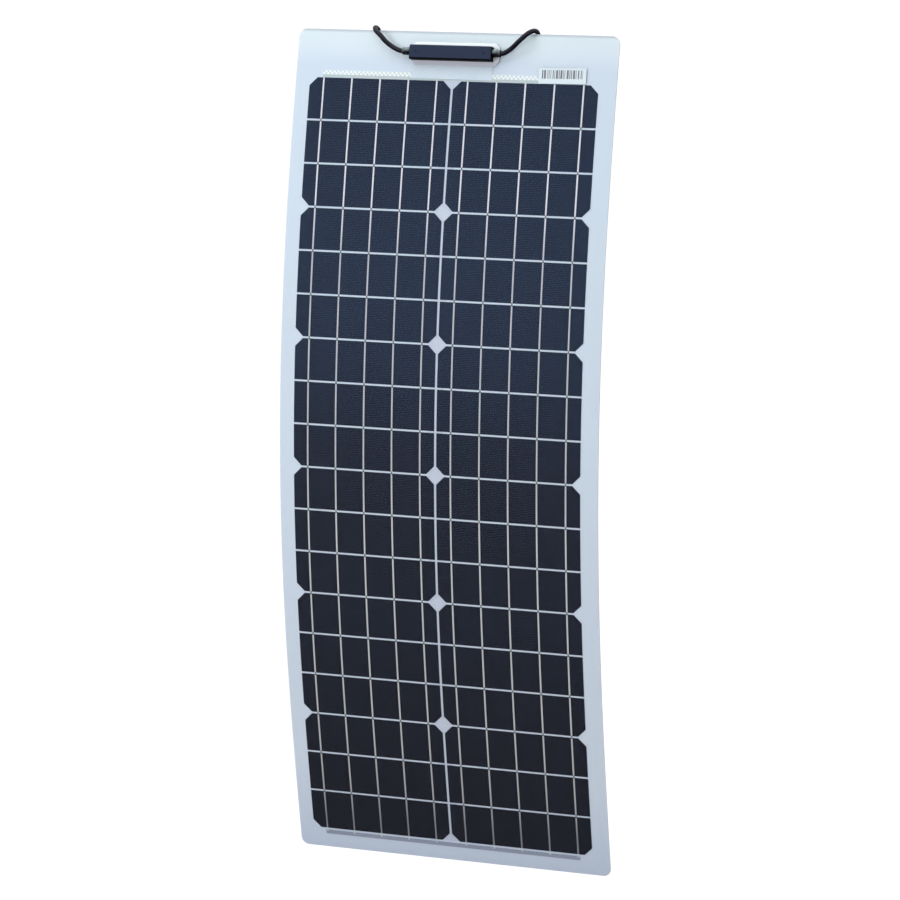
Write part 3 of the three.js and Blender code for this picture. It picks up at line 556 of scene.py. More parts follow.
def noise(tree, scale, detail, roughness=0.5):
    """A noise from 0 to 1, with its scale in features to the metre."""
    place = add_node(tree, "TexCoord").outputs["Object"]
    inputs = {"Scale": scale, "Detail": detail, "Roughness": roughness, "Vector": place}
    return add_node(tree, "TexNoise", inputs).outputs["Fac"]


def flat_place(tree):
    """The flat place on the sheet: sockets for across and up, in metres."""
    uv = add_node(tree, "UVMap", uv_map="flat")
    split = add_node(tree, "SeparateXYZ", {0: uv.outputs["UV"]})
    return split.outputs[0], split.outputs[1]


def wave(tree, place, pitch):
    """A cosine from 0 to 1 along a place, with its crests a pitch apart."""
    turned = times(tree, place, 2 * math.pi / pitch)
    return math_node(tree, "MULTIPLY_ADD", math_node(tree, "COSINE", turned), 0.5, 0.5)


def bump(tree, height, distance):
    inputs = {"Height": height, "Distance": distance, "Strength": 1.0}
    return add_node(tree, "Bump", inputs).outputs[0]


def new_material(name, colour, roughness, metallic=0.0, specular=0.5):
    """A Principled material, as (material, node tree, Principled node)."""
    made = bpy.data.materials.new(name)
    made.use_nodes = True
    tree = made.node_tree
    shader = tree.nodes["Principled BSDF"]
    shader.inputs["Base Color"].default_value = (*colour, 1)
    shader.inputs["Roughness"].default_value = roughness
    shader.inputs["Metallic"].default_value = metallic
    shader.inputs["Specular IOR Level"].default_value = specular
    return made, tree, shader


def band(tree, place, low, high):
    """1 where a place lies between two values, and 0 elsewhere."""
    above = math_node(tree, "GREATER_THAN", place, low)
    return times(tree, above, math_node(tree, "LESS_THAN", place, high))


def normal_part(tree, index):
    """One component of the surface's normal: 1 is Y, which points behind the sheet, and 2 is Z."""
    normal = add_node(tree, "NewGeometry").outputs["Normal"]
    return add_node(tree, "SeparateXYZ", {0: normal}).outputs[index]


def ramp_down(tree, up, stops):
    """A colour that varies down the sheet, from pairs of a place and a colour.

    The place is a share of the columns' length, from their top. A ramp node runs from 0 to 1, so
    the columns take RAMP_SPAN of it from RAMP_START, and the margins have room at both ends.
    """
    down = math_node(tree, "MULTIPLY_ADD", up, -RAMP_SPAN / (ROWS * ROW_PITCH), RAMP_START)
    ramp = add_node(tree, "ValToRGB", {0: down})
    for i, (place, colour) in enumerate(stops):
        place = RAMP_START + RAMP_SPAN * place
        stop = ramp.color_ramp.elements[i] if i < 2 else ramp.color_ramp.elements.new(place)
        stop.position = place
        stop.color = (*colour, 1)
    return ramp.outputs["Color"]


def multiply_colours(tree, first, second):
    return mix_colours(tree, 1, first, second, "MULTIPLY")


def sheet_white():
    """White reinforced back sheet: faintly uneven, with a fine grey line of painted shade along its top
    edge.

    A painted highlight brightens it near its top edge. Painted shade greys it towards its lower edge and in
    a band on its front just above the cells. It is also greyer between the columns.
    """
    made, tree, shader = new_material("sheet_white", (0.72, 0.85, 0.95), 0.5, specular=0.3)
    across, up = flat_place(tree)
    # Painted light down the sheet: a painted shade line at the top edge, a painted highlight below it, and
    # painted shade towards the lower edge.
    stops = [
        (-0.0605, (0.42, 0.47, 0.56)),
        (-0.0598, (0.81, 0.945, 1.0)),
        (-0.035, (0.78, 0.905, 1.0)),
        (-0.018, (0.71, 0.83, 0.96)),
        (0.02, (0.70, 0.83, 0.95)),
        (0.9, (0.73, 0.825, 0.945)),
        (1.03, (0.59, 0.68, 0.83)),
    ]
    cloud = mix_colours(tree, noise(tree, 14, 3), (0.96, 0.96, 0.98), (1.0, 1.0, 1.0))
    colour = multiply_colours(tree, ramp_down(tree, up, stops), cloud)
    front = math_node(tree, "LESS_THAN", normal_part(tree, 1), 0)
    gap = times(tree, front, band(tree, up, -CELLS_BOTTOM, -CELLS_TOP))
    gap = times(tree, gap, band(tree, across, -WAFER_CHAMFER, WAFER_CHAMFER))
    colour = mix_colours(tree, gap, colour, multiply_colours(tree, colour, (0.87, 0.84, 0.87)))
    # Painted shade: a grey band on the front between the cells and the upper bus.
    strip = times(tree, front, band(tree, up, -CELLS_TOP, UPPER_BUS_BOTTOM))
    strip = times(tree, strip, band(tree, across, -BUS_END, BUS_END))
    colour = mix_colours(tree, strip, colour, (0.57, 0.68, 0.72))
    tree.links.new(colour, shader.inputs["Base Color"])
    tree.links.new(bump(tree, noise(tree, 1400, 1), 0.00004), shader.inputs["Normal"])
    return made


def silicon():
    """Coated silicon: drifting dark navy, fine silver fingers along X, and a painted sheen that fades lower
    down.
    """
    made, tree, shader = new_material("silicon", (0.02, 0.03, 0.05), 0.45)
    shader.inputs["Specular Tint"].default_value = (0.1, 0.4, 1, 1)
    up = flat_place(tree)[1]
    tint = noise(tree, 55, 3, roughness=0.65)
    body = mix_colours(tree, tint, (0.007, 0.005, 0.012), (0.004, 0.007, 0.014))
    finger = math_node(tree, "GREATER_THAN", wave(tree, up, SLICE_HEIGHT / FINGERS_PER_SLICE), 0.965)
    colour = mix_colours(tree, times(tree, finger, 0.3), body, (0.14, 0.16, 0.22))
    tree.links.new(colour, shader.inputs["Base Color"])
    # Painted sheen: the specular level falls down the sheet, standing in for the reflection of the lamps on
    # the upper rows.
    levels = [(0.03, 0.3), (0.14, 0.27), (0.25, 0.25), (0.36, 0.22), (0.47, 0.14)]
    levels += [(0.58, 0.1), (0.69, 0.085), (0.8, 0.045), (0.97, 0.005)]
    painted_sheen = ramp_down(tree, up, [(place, (level, level, level)) for place, level in levels])
    tree.links.new(painted_sheen, shader.inputs["Specular IOR Level"])
    return made


def ribbon_tin():
    """Tinned ribbon seen through the dimpled film: beaded, with painted light down the rows, a painted
    highlight in the top rows and painted shade lower down.
    """
    made, tree, shader = new_material("ribbon_tin", (0.6, 0.63, 0.7), 0.45, metallic=0.3)
    up = flat_place(tree)[1]
    share = times(tree, wave(tree, up, RIBBON_BEAD_PITCH), noise(tree, 300, 2))
    colour = mix_colours(tree, share, (0.88, 0.89, 0.91), (1.0, 1.0, 1.0))
    # Painted light by row: the bright top rows are a painted highlight, and the dimmer lower rows and
    # darkest last rows are painted shade.
    stops = [
        (0.03, (0.80, 0.80, 0.86)),
        (0.15, (0.79, 0.79, 0.85)),
        (0.22, (0.51, 0.52, 0.57)),
        (0.4, (0.53, 0.54, 0.57)),
        (0.5, (0.55, 0.56, 0.59)),
        (0.58, (0.66, 0.66, 0.66)),
        (0.83, (0.60, 0.60, 0.61)),
        (0.93, (0.46, 0.46, 0.47)),
        (0.98, (0.21, 0.22, 0.25)),
    ]
    tree.links.new(multiply_colours(tree, colour, ramp_down(tree, up, stops)), shader.inputs["Base Color"])
    return made


def ribbon_dip():
    """The ribbon's bend between two slices, coloured dark grey as painted shade."""
    made, tree, shader = new_material("ribbon_dip", (0.16, 0.17, 0.18), 0.6, metallic=0.1)
    # Painted shade: a dark, uneven grey.
    colour = mix_colours(tree, noise(tree, 900, 2), (0.10, 0.11, 0.12), (0.24, 0.25, 0.26))
    tree.links.new(colour, shader.inputs["Base Color"])
    return made


def bus_tin(name, foot, dark, light):
    """Wide tinned ribbon with the film's dimples in it: two staggered rows above the ribbon's foot."""
    made, tree, shader = new_material(name, light, 0.4, metallic=0.05)
    across, up = flat_place(tree)
    columns = math_node(tree, "COSINE", times(tree, across, 2 * math.pi / DIMPLE_PITCH))
    height = math_node(tree, "SUBTRACT", up, foot)
    rows = math_node(tree, "SINE", times(tree, height, 2 * math.pi / BUS_WIDTH))
    weave = math_node(tree, "MULTIPLY_ADD", times(tree, columns, rows), 0.5, 0.5)
    share = math_node(tree, "MULTIPLY_ADD", weave, 1.7, -0.1)
    tree.links.new(mix_colours(tree, share, dark, light), shader.inputs["Base Color"])
    tree.links.new(bump(tree, weave, 0.0001), shader.inputs["Normal"])
    return made


def plain(name, colour, roughness, grain=0.0, grain_size=0.5 * MM, drift=0.08, **kind):
    """A moulded or cast finish: a slightly drifting colour and a fine grain."""
    made, tree, shader = new_material(name, colour, roughness, **kind)
    low = tuple(c * (1 - drift) for c in colour)
    high = tuple(min(c * (1 + drift), 1) for c in colour)
    tree.links.new(mix_colours(tree, noise(tree, 60, 3), low, high), shader.inputs["Base Color"])
    if grain:
        tree.links.new(bump(tree, noise(tree, 1 / grain_size, 3), grain), shader.inputs["Normal"])
    return made


def lit_and_shaded(name, top, under, low, high, roughness):
    """Painted light and shade: paler where it faces up, dark where it faces down, with a patchy edge
    between.
    """
    made, tree, shader = new_material(name, top, roughness, specular=0.05)
    # Painted light: the share of the paler colour follows how far the surface faces up.
    share = math_node(tree, "SMOOTH_MIN", normal_part(tree, 2), high, 0.1)
    share = math_node(tree, "DIVIDE", math_node(tree, "SUBTRACT", share, low), high - low)
    share = math_node(tree, "MINIMUM", math_node(tree, "MAXIMUM", share, 0), 1)
    patchy = math_node(tree, "MULTIPLY_ADD", noise(tree, 220, 3), 0.3, 0.85)
    share = math_node(tree, "MINIMUM", times(tree, share, patchy), 1)
    tree.links.new(mix_colours(tree, share, under, top), shader.inputs["Base Color"])
    tree.links.new(bump(tree, noise(tree, 2500, 1), 0.00003), shader.inputs["Normal"])
    return made


def clear_layer(name, alpha, roughness):
    """A clear layer that shows as a faint dimpled sheen."""
    made, tree, shader = new_material(name, (0.30, 0.33, 0.36), roughness)
    shader.inputs["Alpha"].default_value = alpha
    across, up = flat_place(tree)
    dimples = times(tree, wave(tree, across, RIBBON_BEAD_PITCH), wave(tree, up, RIBBON_BEAD_PITCH))
    tree.links.new(bump(tree, dimples, 0.00008), shader.inputs["Normal"])
    return made


WHITE = sheet_white()
SILICON = silicon()
RIBBON = ribbon_tin()
DIP = ribbon_dip()
# The two buses are one tinned metal: the upper one is bright as a painted reflection of the light above, and
# the lower one is dark as painted shade.
UPPER_BUS = bus_tin("upper_bus", UPPER_BUS_BOTTOM, (0.55, 0.67, 0.76), (0.91, 0.99, 1.0))
LOWER_BUS = bus_tin("lower_bus", LOWER_BUS_BOTTOM, (0.21, 0.245, 0.34), (0.29, 0.33, 0.43))
COVER = plain("cover_white", (0.69, 0.82, 0.95), 0.5)
PAPER = plain("label_paper", (0.68, 0.79, 0.86), 0.6, drift=0.02)
INK = plain("label_ink", (0.16, 0.16, 0.19), 0.5)
# Silicone: pale where it faces up, with painted shade on its downward slope.
SILICONE = lit_and_shaded("silicone", (0.88, 0.96, 1.0), (0.58, 0.60, 0.69), -0.02, 0.3, 0.4)
STUB = plain("ribbon_stub", (0.56, 0.66, 0.66), 0.5)
# Painted shade: the laminate's cut edge is dark grey, to show as a thin dark line.
CUT_EDGE = plain("cut_edge", (0.30, 0.32, 0.38), 0.5)
BAND = plain("diode_band", (0.55, 0.56, 0.58), 0.4)
# Gland: a painted highlight in pale grey-green on its top, and black painted shade underneath.
GLAND_PLASTIC = lit_and_shaded("gland_plastic", (0.33, 0.41, 0.42), (0.004, 0.003, 0.006), -0.1, 1.0, 0.4)
# Black base plastic, with painted shade making it darker still wherever it doesn't face up.
BASE_PLASTIC = lit_and_shaded("base_plastic", (0.05, 0.05, 0.05), (0.003, 0.002, 0.004), 0.5, 0.9, 0.6)
# Slate lid, with painted shade turning its faces that look down, such as the lower bevel, black.
LID_PLASTIC = lit_and_shaded("lid_plastic", (0.025, 0.036, 0.069), (0.001, 0.001, 0.002), -0.4, 0.1, 0.4)
# Dark rubber, with painted shade making its underside near black.
LEAD_RUBBER = lit_and_shaded("lead_rubber", (0.050, 0.050, 0.060), (0.003, 0.002, 0.010), -0.3, 0.9, 0.5)
CONNECTOR = plain("connector_plastic", (0.022, 0.022, 0.024), 0.42, grain=0.00003, grain_size=0.4 * MM)
NYLON = plain("tie_nylon", (0.018, 0.018, 0.02), 0.4)
TIN = plain("terminal_tin", (0.62, 0.63, 0.65), 0.32, metallic=0.9)
DIODE_BLACK = plain("diode_black", (0.02, 0.02, 0.022), 0.35)
FILM_CLEAR = clear_layer("film_clear", 0.012, 0.3)
RESIN_CLEAR = clear_layer("resin_clear", 0.006, 0.4)


# Leads, with their coils, ties and connectors


def coil_radius(turn):
    step = LEAD_DIAMETER + COIL_TURN_GAP
    return COIL_MIDDLE_RADIUS + COIL_TURNS / 4 * step - step * min(turn, COIL_TURNS - turn)


def coil_points(side, start):
    """The wound line from the coil's top, in and out again, and down its tail."""
    step = LEAD_DIAMETER + COIL_TURN_GAP
    centre = start - Vector((0, 0, coil_radius(0)))
    points = []
    count = round(COIL_TURNS * COIL_STEPS_PER_TURN)
    for i in range(count + 1):
        turn = COIL_TURNS * i / count
        angle = math.pi / 2 - 2 * math.pi * turn
        layer = min(max((turn - COIL_TURNS / 2) / 0.5 + 0.5, 0), 1)
        radius = coil_radius(turn)
        place = Vector((side * radius * math.cos(angle), -step * layer, radius * math.sin(angle)))
        points.append(centre + place)
    return points + [points[-1] - Vector((0, 0, COIL_TAIL))], centre


def add_lead(name, side, route, nodes):
    """One whole lead as a curve, and the points where its coil is centred and where it ends."""
    mouth = in_box(side * (BOX_LENGTH / 2 + GLAND_LENGTH + MEETING_GAP), GLAND_AXIS_RISE, GLAND_DEPTH)
    points = [mouth + Vector((side * out, back, up)) * MM for out, back, up in route]
    start = points[-1] + Vector((side * (MEETING_GAP + LEAD_DIAMETER), 0, 0))
    wound, centre = coil_points(side, start)
    points += wound
    curve = bpy.data.curves.new(name, "CURVE")
    curve.dimensions = "3D"
    curve.resolution_u = 6
    curve.bevel_depth = LEAD_DIAMETER / 2
    curve.bevel_resolution = 6
    curve.use_fill_caps = True
    curve.materials.append(LEAD_RUBBER)
    spline = curve.splines.new("BEZIER")
    spline.bezier_points.add(len(points) - 1)
    for bezier, point in zip(spline.bezier_points, points):
        bezier.co = point
        bezier.handle_left_type = bezier.handle_right_type = "AUTO"
    lead = new_object(name, curve)
    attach(lead, SHEET)
    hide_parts(*nodes)
    return lead, mouth, centre, points[-1]


def add_gland(word, side, node):
    """A gland in the end of the box: stub, neck, barrel, ribbed collar and seal round the lead."""
    barrel_end = GLAND_LENGTH - GLAND_COLLAR_LENGTH
    neck_end = GLAND_NECK_LENGTH + GLAND_RADIUS - GLAND_NECK_RADIUS
    groove = barrel_end - GLAND_GROOVE_WIDTH
    profile = [(0, -BOX_WALL), (GLAND_STUB_RADIUS, -BOX_WALL), (GLAND_STUB_RADIUS, LAYER_GAP)]
    profile += [(GLAND_NECK_RADIUS, LAYER_GAP), (GLAND_NECK_RADIUS, GLAND_NECK_LENGTH)]
    profile += [(GLAND_RADIUS, neck_end), (GLAND_RADIUS, groove)]
    profile += [(GLAND_NECK_RADIUS, groove), (GLAND_NECK_RADIUS, barrel_end)]
    profile += [(GLAND_COLLAR_RADIUS, barrel_end), (GLAND_COLLAR_RADIUS, GLAND_LENGTH), (0, GLAND_LENGTH)]

    def ribbed(radius, along, angle):
        on_collar = along > barrel_end and radius > GLAND_NECK_RADIUS
        return radius - (GLAND_RIB_DEPTH * (1 + math.cos(GLAND_RIBS * angle)) if on_collar else 0)

    wall = in_box(side * BOX_LENGTH / 2, GLAND_AXIS_RISE, GLAND_DEPTH)
    bm = bmesh.new()
    turn_profile(bm, soften(profile, 0.3 * MM), wall, (side, 0, 0), 96, ribbed)
    seal_start, seal_end = GLAND_LENGTH - GLAND_SEAL_PROUD, GLAND_LENGTH + GLAND_SEAL_PROUD
    straight_end = GLAND_LENGTH + GLAND_SEAL_STRAIGHT
    seal = [(0, seal_start), (GLAND_SEAL_RADIUS, seal_start), (GLAND_SEAL_RADIUS, straight_end)]
    seal += [(GLAND_SEAL_TIP_RADIUS, seal_end), (0, seal_end)]
    turn_profile(bm, seal, wall, (side, 0, 0), 48, material_index=1)
    made = [GLAND_PLASTIC, LEAD_RUBBER]
    make_piece(f"gland_{word}_ribbed", bm, made, node, bent=False)


def add_tie(word, side, centre, node):
    """A nylon tie round the coil's strands, with its head at the back and its cut tail."""
    passes = [coil_radius(turn) for turn in TIE_PASSES]
    room = LEAD_DIAMETER / 2 + TIE_CLEARANCE
    across = [-side * (min(passes) - room), -side * (max(passes) + room)]
    left, right = min(across), max(across)
    front, back = -LEAD_DIAMETER - COIL_TURN_GAP - room, room
    inner = rounded_rectangle(left, front, right, back, TIE_CORNER)
    outer = rounded_rectangle(
        left - TIE_WALL, front - TIE_WALL, right + TIE_WALL, back + TIE_WALL, TIE_CORNER + TIE_WALL
    )
    bm = bmesh.new()
    rings = []
    for outline, up in ((inner, -1), (outer, -1), (outer, 1), (inner, 1)):
        rings.append([bm.verts.new((x, y, up * TIE_WIDTH / 2)) for x, y in outline])
    bridge(bm, rings + rings[:1])
    middle = (left + right) / 2
    half = TIE_HEAD / 2
    head_back = back + TIE_WALL / 2
    block(bm, (middle - half, head_back, -half), (middle + half, head_back + TIE_HEAD, half))
    tail_y = head_back + TIE_HEAD * TIE_TAIL_SHARE
    tail_low = (middle - half - TIE_TAIL, tail_y, -TIE_WIDTH / 2)
    tail_high = (middle + half + TIE_TAIL_PAST_HEAD, tail_y + TIE_WALL, TIE_WIDTH / 2)
    block(bm, tail_low, tail_high)
    ease_edges(bm, 0.3 * MM)
    tie = make_piece(f"nylon_tie_{word}", bm, [NYLON], node, bent=False)
    tie.location = centre
    return tie


def add_nose(bm, top, down, front, shoulder):
    """One half's shoulder, its nose with a round seal and a contact, and two latches."""
    nose_end = shoulder + NOSE_LENGTH
    ring = shoulder + RING_SHARE * NOSE_LENGTH
    neck = NOSE_RADIUS - RING_GROOVE
    ring_end = ring + RING_WIDTH
    thick = NOSE_RADIUS
    collar = rod(SHOULDER_RADIUS, front, shoulder)
    nose = [(0, shoulder), (thick, shoulder), (thick, ring), (neck, ring), (neck, ring_end)]
    nose += [(thick, ring_end), (thick, nose_end), (0, nose_end)]
    turn_profile(bm, soften(collar, 0.6 * MM), top, down, 72)
    turn_profile(bm, soften(nose, 0.4 * MM), top, down)
    add_ring(bm, top - Vector((0, 0, ring + RING_WIDTH / 2)), neck, RING_THICKNESS, 1)
    contact = rod(CONTACT_RADIUS, nose_end - 1 * MM, nose_end + CONTACT_PROUD)
    turn_profile(bm, contact, top, down, 32, material_index=2)
    for turn in (-1, 1):
        add_latch(bm, top, turn, shoulder)


def add_sleeve(bm, top, down, front):
    """The other half's open tube, with a pin at its bottom and two catches."""
    inner = SLEEVE_INNER_RADIUS
    outer = inner + SLEEVE_WALL
    end, floor = front + SLEEVE_LENGTH, front + SLEEVE_FLOOR
    sleeve = [(0, front), (outer, front), (outer, end), (inner, end), (inner, floor), (0, floor)]
    turn_profile(bm, soften(sleeve, 0.4 * MM), top, down, 72)
    pin = rod(PIN_RADIUS, front, front + PIN_LENGTH)
    turn_profile(bm, soften(pin, 0.4 * MM), top, down, 32, material_index=2)
    for turn in (-1, 1):
        add_catch(bm, top, turn, front, outer)


def add_connector(word, end, kind, node):
    """A connector half on the end of a lead: ribbed nut, flat-sided body, and a nose or a sleeve."""
    nut = NUT_LENGTH
    front = nut + PLUG_BODY_LENGTH
    shoulder = front + SHOULDER_LENGTH
    top = end - Vector((0, 0, MEETING_GAP))
    down = (0, 0, -1)

    def ribbed(radius, along, angle):
        if radius < NUT_RADIUS - PLUG_GROOVE / 2:
            return radius
        return radius - NUT_FLUTE_DEPTH * (0.5 + 0.5 * math.cos(NUT_FLUTES * angle)) ** 6

    def flat_sided(radius, along, angle):
        return min(radius, (PLUG_BODY_RADIUS - PLUG_BODY_FLAT) / max(abs(math.cos(angle)), 0.01))

    groove = (NUT_RADIUS - PLUG_GROOVE, nut)
    nut_profile = [(0, 0), (NUT_RADIUS - NUT_TAPER, 0), (NUT_RADIUS, NUT_TAPER_LENGTH)]
    nut_profile += [(NUT_RADIUS, nut - PLUG_GROOVE), groove, (0, nut)]
    body_profile = [(0, nut), groove, (PLUG_BODY_RADIUS, nut + PLUG_GROOVE)]
    body_profile += [(PLUG_BODY_RADIUS, front), (0, front)]
    seal_profile = [(0, -PLUG_SEAL_PROUD), (PLUG_SEAL_TIP_RADIUS, -PLUG_SEAL_PROUD)]
    seal_profile += [(PLUG_SEAL_RADIUS, 0), (PLUG_SEAL_RADIUS, PLUG_GROOVE), (0, PLUG_GROOVE)]
    bm = bmesh.new()
    turn_profile(bm, soften(nut_profile, 0.5 * MM), top, down, 120, ribbed)
    turn_profile(bm, soften(body_profile, 0.5 * MM), top, down, 72, flat_sided)
    turn_profile(bm, seal_profile, top, down, material_index=1)
    if kind == "nose":
        add_nose(bm, top, down, front, shoulder)
    else:
        add_sleeve(bm, top, down, front)
    made = [CONNECTOR, LEAD_RUBBER, TIN]
    return make_piece(f"connector_{word}", bm, made, node, bent=False)


def add_ring(bm, centre, radius, thickness, material_index):
    """A round seal about the vertical through a centre."""
    rings = []
    for i in range(48):
        angle = 2 * math.pi * i / 48
        outward = Vector((math.cos(angle), math.sin(angle), 0))
        ring = []
        for k in range(12):
            turn = 2 * math.pi * k / 12
            reach = outward * (radius + thickness * math.cos(turn))
            ring.append(bm.verts.new(centre + reach + Vector((0, 0, thickness * math.sin(turn)))))
        rings.append(ring)
    bridge(bm, rings + rings[:1], material_index)


def add_latch(bm, top, turn, shoulder):
    """A springy arm beside the nose, with a barb at its end."""
    inner, outer, slope = LATCH_INNER, LATCH_OUTER, LATCH_BARB_SLOPE
    start, barb, tip = shoulder - 1 * MM, shoulder + LATCH_BARB_AT, shoulder + LATCH_REACH
    barb_out = outer + LATCH_BARB_HEIGHT
    profile = [(inner, start), (inner, tip), (outer - slope, tip), (barb_out, barb + slope)]
    profile += [(barb_out, barb), (outer, barb), (outer, start)]
    sides = []
    for y in (-LATCH_HALF_WIDTH, LATCH_HALF_WIDTH):
        sides.append([bm.verts.new(top + Vector((turn * x, y, -z))) for x, z in profile])
    bm.faces.new(sides[0])
    bm.faces.new(sides[1][::-1])
    for k in range(len(profile)):
        n = (k + 1) % len(profile)
        bm.faces.new((sides[0][k], sides[1][k], sides[1][n], sides[0][n]))


def add_catch(bm, top, turn, front, outer):
    """A raised block on the sleeve that the other half's latch hooks behind."""
    near, far = turn * (outer - CATCH_SUNK), turn * (outer + CATCH_PROUD)
    low = Vector((min(near, far), -CATCH_HALF_WIDTH, -front - CATCH_END))
    high = Vector((max(near, far), CATCH_HALF_WIDTH, -front - CATCH_START))
    block(bm, top + low, top + high)


add_camera()
for word, side, route, kind in (("left", -1, LEFT_ROUTE, "nose"), ("right", 1, RIGHT_ROUTE, "sleeve")):
    nodes = (f"lead_{word}", f"lead_{word}_coil")
    lead, mouth, centre, end = add_lead(f"flex_{word}", side, route, nodes)
    add_gland(word, side, f"gland_{word}")
    tie = add_tie(word, side, centre, f"tie_{word}")
    connector = add_connector(word, end, kind, f"plug_{word}")


# Sheet


def sheet_outline():
    left, right = -SHEET_WIDTH / 2 - CELLS_SHIFT, SHEET_WIDTH / 2 - CELLS_SHIFT
    return rounded_rectangle(left, -SHEET_BOTTOM, right, -SHEET_TOP, SHEET_CORNER)


def sheet_layer(name, node, slot, back, front, ease, *materials):
    """One full layer of the laminate. Its second material, if any, is on the cut edge."""
    bm = bmesh.new()
    slab(bm, sheet_outline(), back, front)
    bm.normal_update()
    for face in bm.faces:
        face.material_index = 0 if abs(face.normal.y) > 0.5 else len(materials) - 1
    ease_edges(bm, ease, 3)
    cut_up(bm, ROW_PITCH / 4)
    make_piece(name, bm, materials, node)


def slice_outline(first, last):
    x, up = WAFER_WIDTH / 2, SLICE_HEIGHT / 2
    top = WAFER_CHAMFER if first else 0
    bottom = WAFER_CHAMFER if last else 0
    points = [(-x + bottom, -up), (x - bottom, -up), (x, -up + bottom), (x, up - top)]
    points += [(x - top, up), (-x + top, up), (-x, up - top), (-x, -up + bottom)]
    return list(dict.fromkeys(points))


def join_sections(bm, sections, material_index):
    """A closed strip through a row of equal cross-sections."""
    rings = [[bm.verts.new(point) for point in section] for section in sections]
    faces = [bm.faces.new(rings[0]), bm.faces.new(rings[-1][::-1])]
    for face in faces:
        face.material_index = material_index
    bridge(bm, rings, material_index)


def add_ribbon(bm, x, top, bottom):
    """A beaded ribbon on a cell's face, down from one height to another."""
    steps = max(2, round((top - bottom) / RIBBON_BEAD_PITCH * 4))
    sections = []
    for i in range(steps + 1):
        up = top + (bottom - top) * i / steps
        bead = math.cos(2 * math.pi * up / RIBBON_BEAD_PITCH)
        half = RIBBON_WIDTH / 2 * (0.95 + 0.06 * bead)
        crown = RIBBON_FRONT + RIBBON_BEAD_RISE * bead
        section = [(-half, CELL_FRONT), (-0.8 * half, RIBBON_FRONT), (0, crown)]
        section += [(0.8 * half, RIBBON_FRONT), (half, CELL_FRONT)]
        sections.append([(x + dx, -depth, up) for dx, depth in section])
    join_sections(bm, sections, 0)


def add_strap(bm, x, stations, material_index):
    """A plain flat ribbon through (height, depth of its back) stations."""
    half = STRAP_HALF_WIDTH
    sections = []
    for up, depth in stations:
        front = depth + STRAP_THICKNESS
        corners = [(-half, depth), (-half, front), (half, front), (half, depth)]
        sections.append([(x + dx, -d, up) for dx, d in corners])
    join_sections(bm, sections, material_index)


def add_cell(word, side, row):
    """A slice of a wafer, and the ribbons on it with their bends to the next slice or the bus."""
    first = row % SLICES_PER_WAFER == 0
    last = row % SLICES_PER_WAFER == SLICES_PER_WAFER - 1
    middle = -(row + 0.5) * ROW_PITCH
    outline = [(side * COLUMN_X + x, middle + up) for x, up in slice_outline(first, last)]
    number = f"{row + 1:02d}"
    bm = bmesh.new()
    slab(bm, outline, CELL_BACK, CELL_FRONT)
    cut_up(bm, ROW_PITCH / 4)
    make_piece(f"silicon_{word}_{number}", bm, [SILICON], f"cell_{word}_{number}")

    top, bottom = middle + SLICE_HEIGHT / 2, middle - SLICE_HEIGHT / 2
    start, end = top - RIBBON_START, bottom + RIBBON_END
    strap_back = CELL_FRONT + STRAP_LIFT
    bm = bmesh.new()
    for offset in RIBBON_OFFSETS:
        x = side * COLUMN_X + offset
        add_ribbon(bm, x, start, end)
        if row == 0:
            bend_end = top + STRAP_BEND
            add_strap(bm, x, [(start, strap_back), (bend_end, CELL_BACK)], 2)
            add_strap(bm, x, [(bend_end, CELL_BACK), (UPPER_BUS_BOTTOM, CELL_BACK)], 2)
        if row == ROWS - 1:
            on_bus = [(LOWER_BUS_TOP, BUS_FRONT), (LOWER_BUS_TOP - STRAP_ON_BUS, BUS_FRONT)]
            add_strap(bm, x, [(end, strap_back), *on_bus], 2)
        else:
            add_strap(bm, x, [(end, strap_back), (bottom - SLICE_GAP, CELL_BACK)], 1)
    made = [RIBBON, DIP, STUB]
    make_piece(f"ribbons_{word}_{number}", bm, made, smooth_angle=60)


def add_bus(name, node, outlines, material):
    """A gathering ribbon over one or more touching rectangles, each (left, bottom, right, top)."""
    bm = bmesh.new()
    for corners in outlines:
        slab(bm, rectangle(*corners), CELL_BACK, BUS_FRONT)
    ease_edges(bm, 0.08 * MM, 1)
    make_piece(name, bm, [material], node)


def add_upper_bus(word, side):
    run = sorted((side * BUS_INNER, side * BUS_END))
    rise = sorted((side * BUS_INNER, side * (BUS_INNER + BUS_WIDTH)))
    outlines = [(run[0], UPPER_BUS_BOTTOM, run[1], UPPER_BUS_TOP), (rise[0], UPPER_BUS_TOP, rise[1], BOX_UP)]
    add_bus(f"bus_upper_{word}", f"bus_ribbon_upper_{word}", outlines, UPPER_BUS)


def add_bus_cover():
    bm = bmesh.new()
    left, right = BUS_COVER_SHIFT - BUS_COVER_WIDTH / 2, BUS_COVER_SHIFT + BUS_COVER_WIDTH / 2
    slab(bm, rectangle(left, UPPER_BUS_BOTTOM - BUS_COVER_HEM, right, BOX_UP), COVER_BACK, COVER_FRONT)
    make_piece("bus_cover_film", bm, [COVER], "bus_cover")


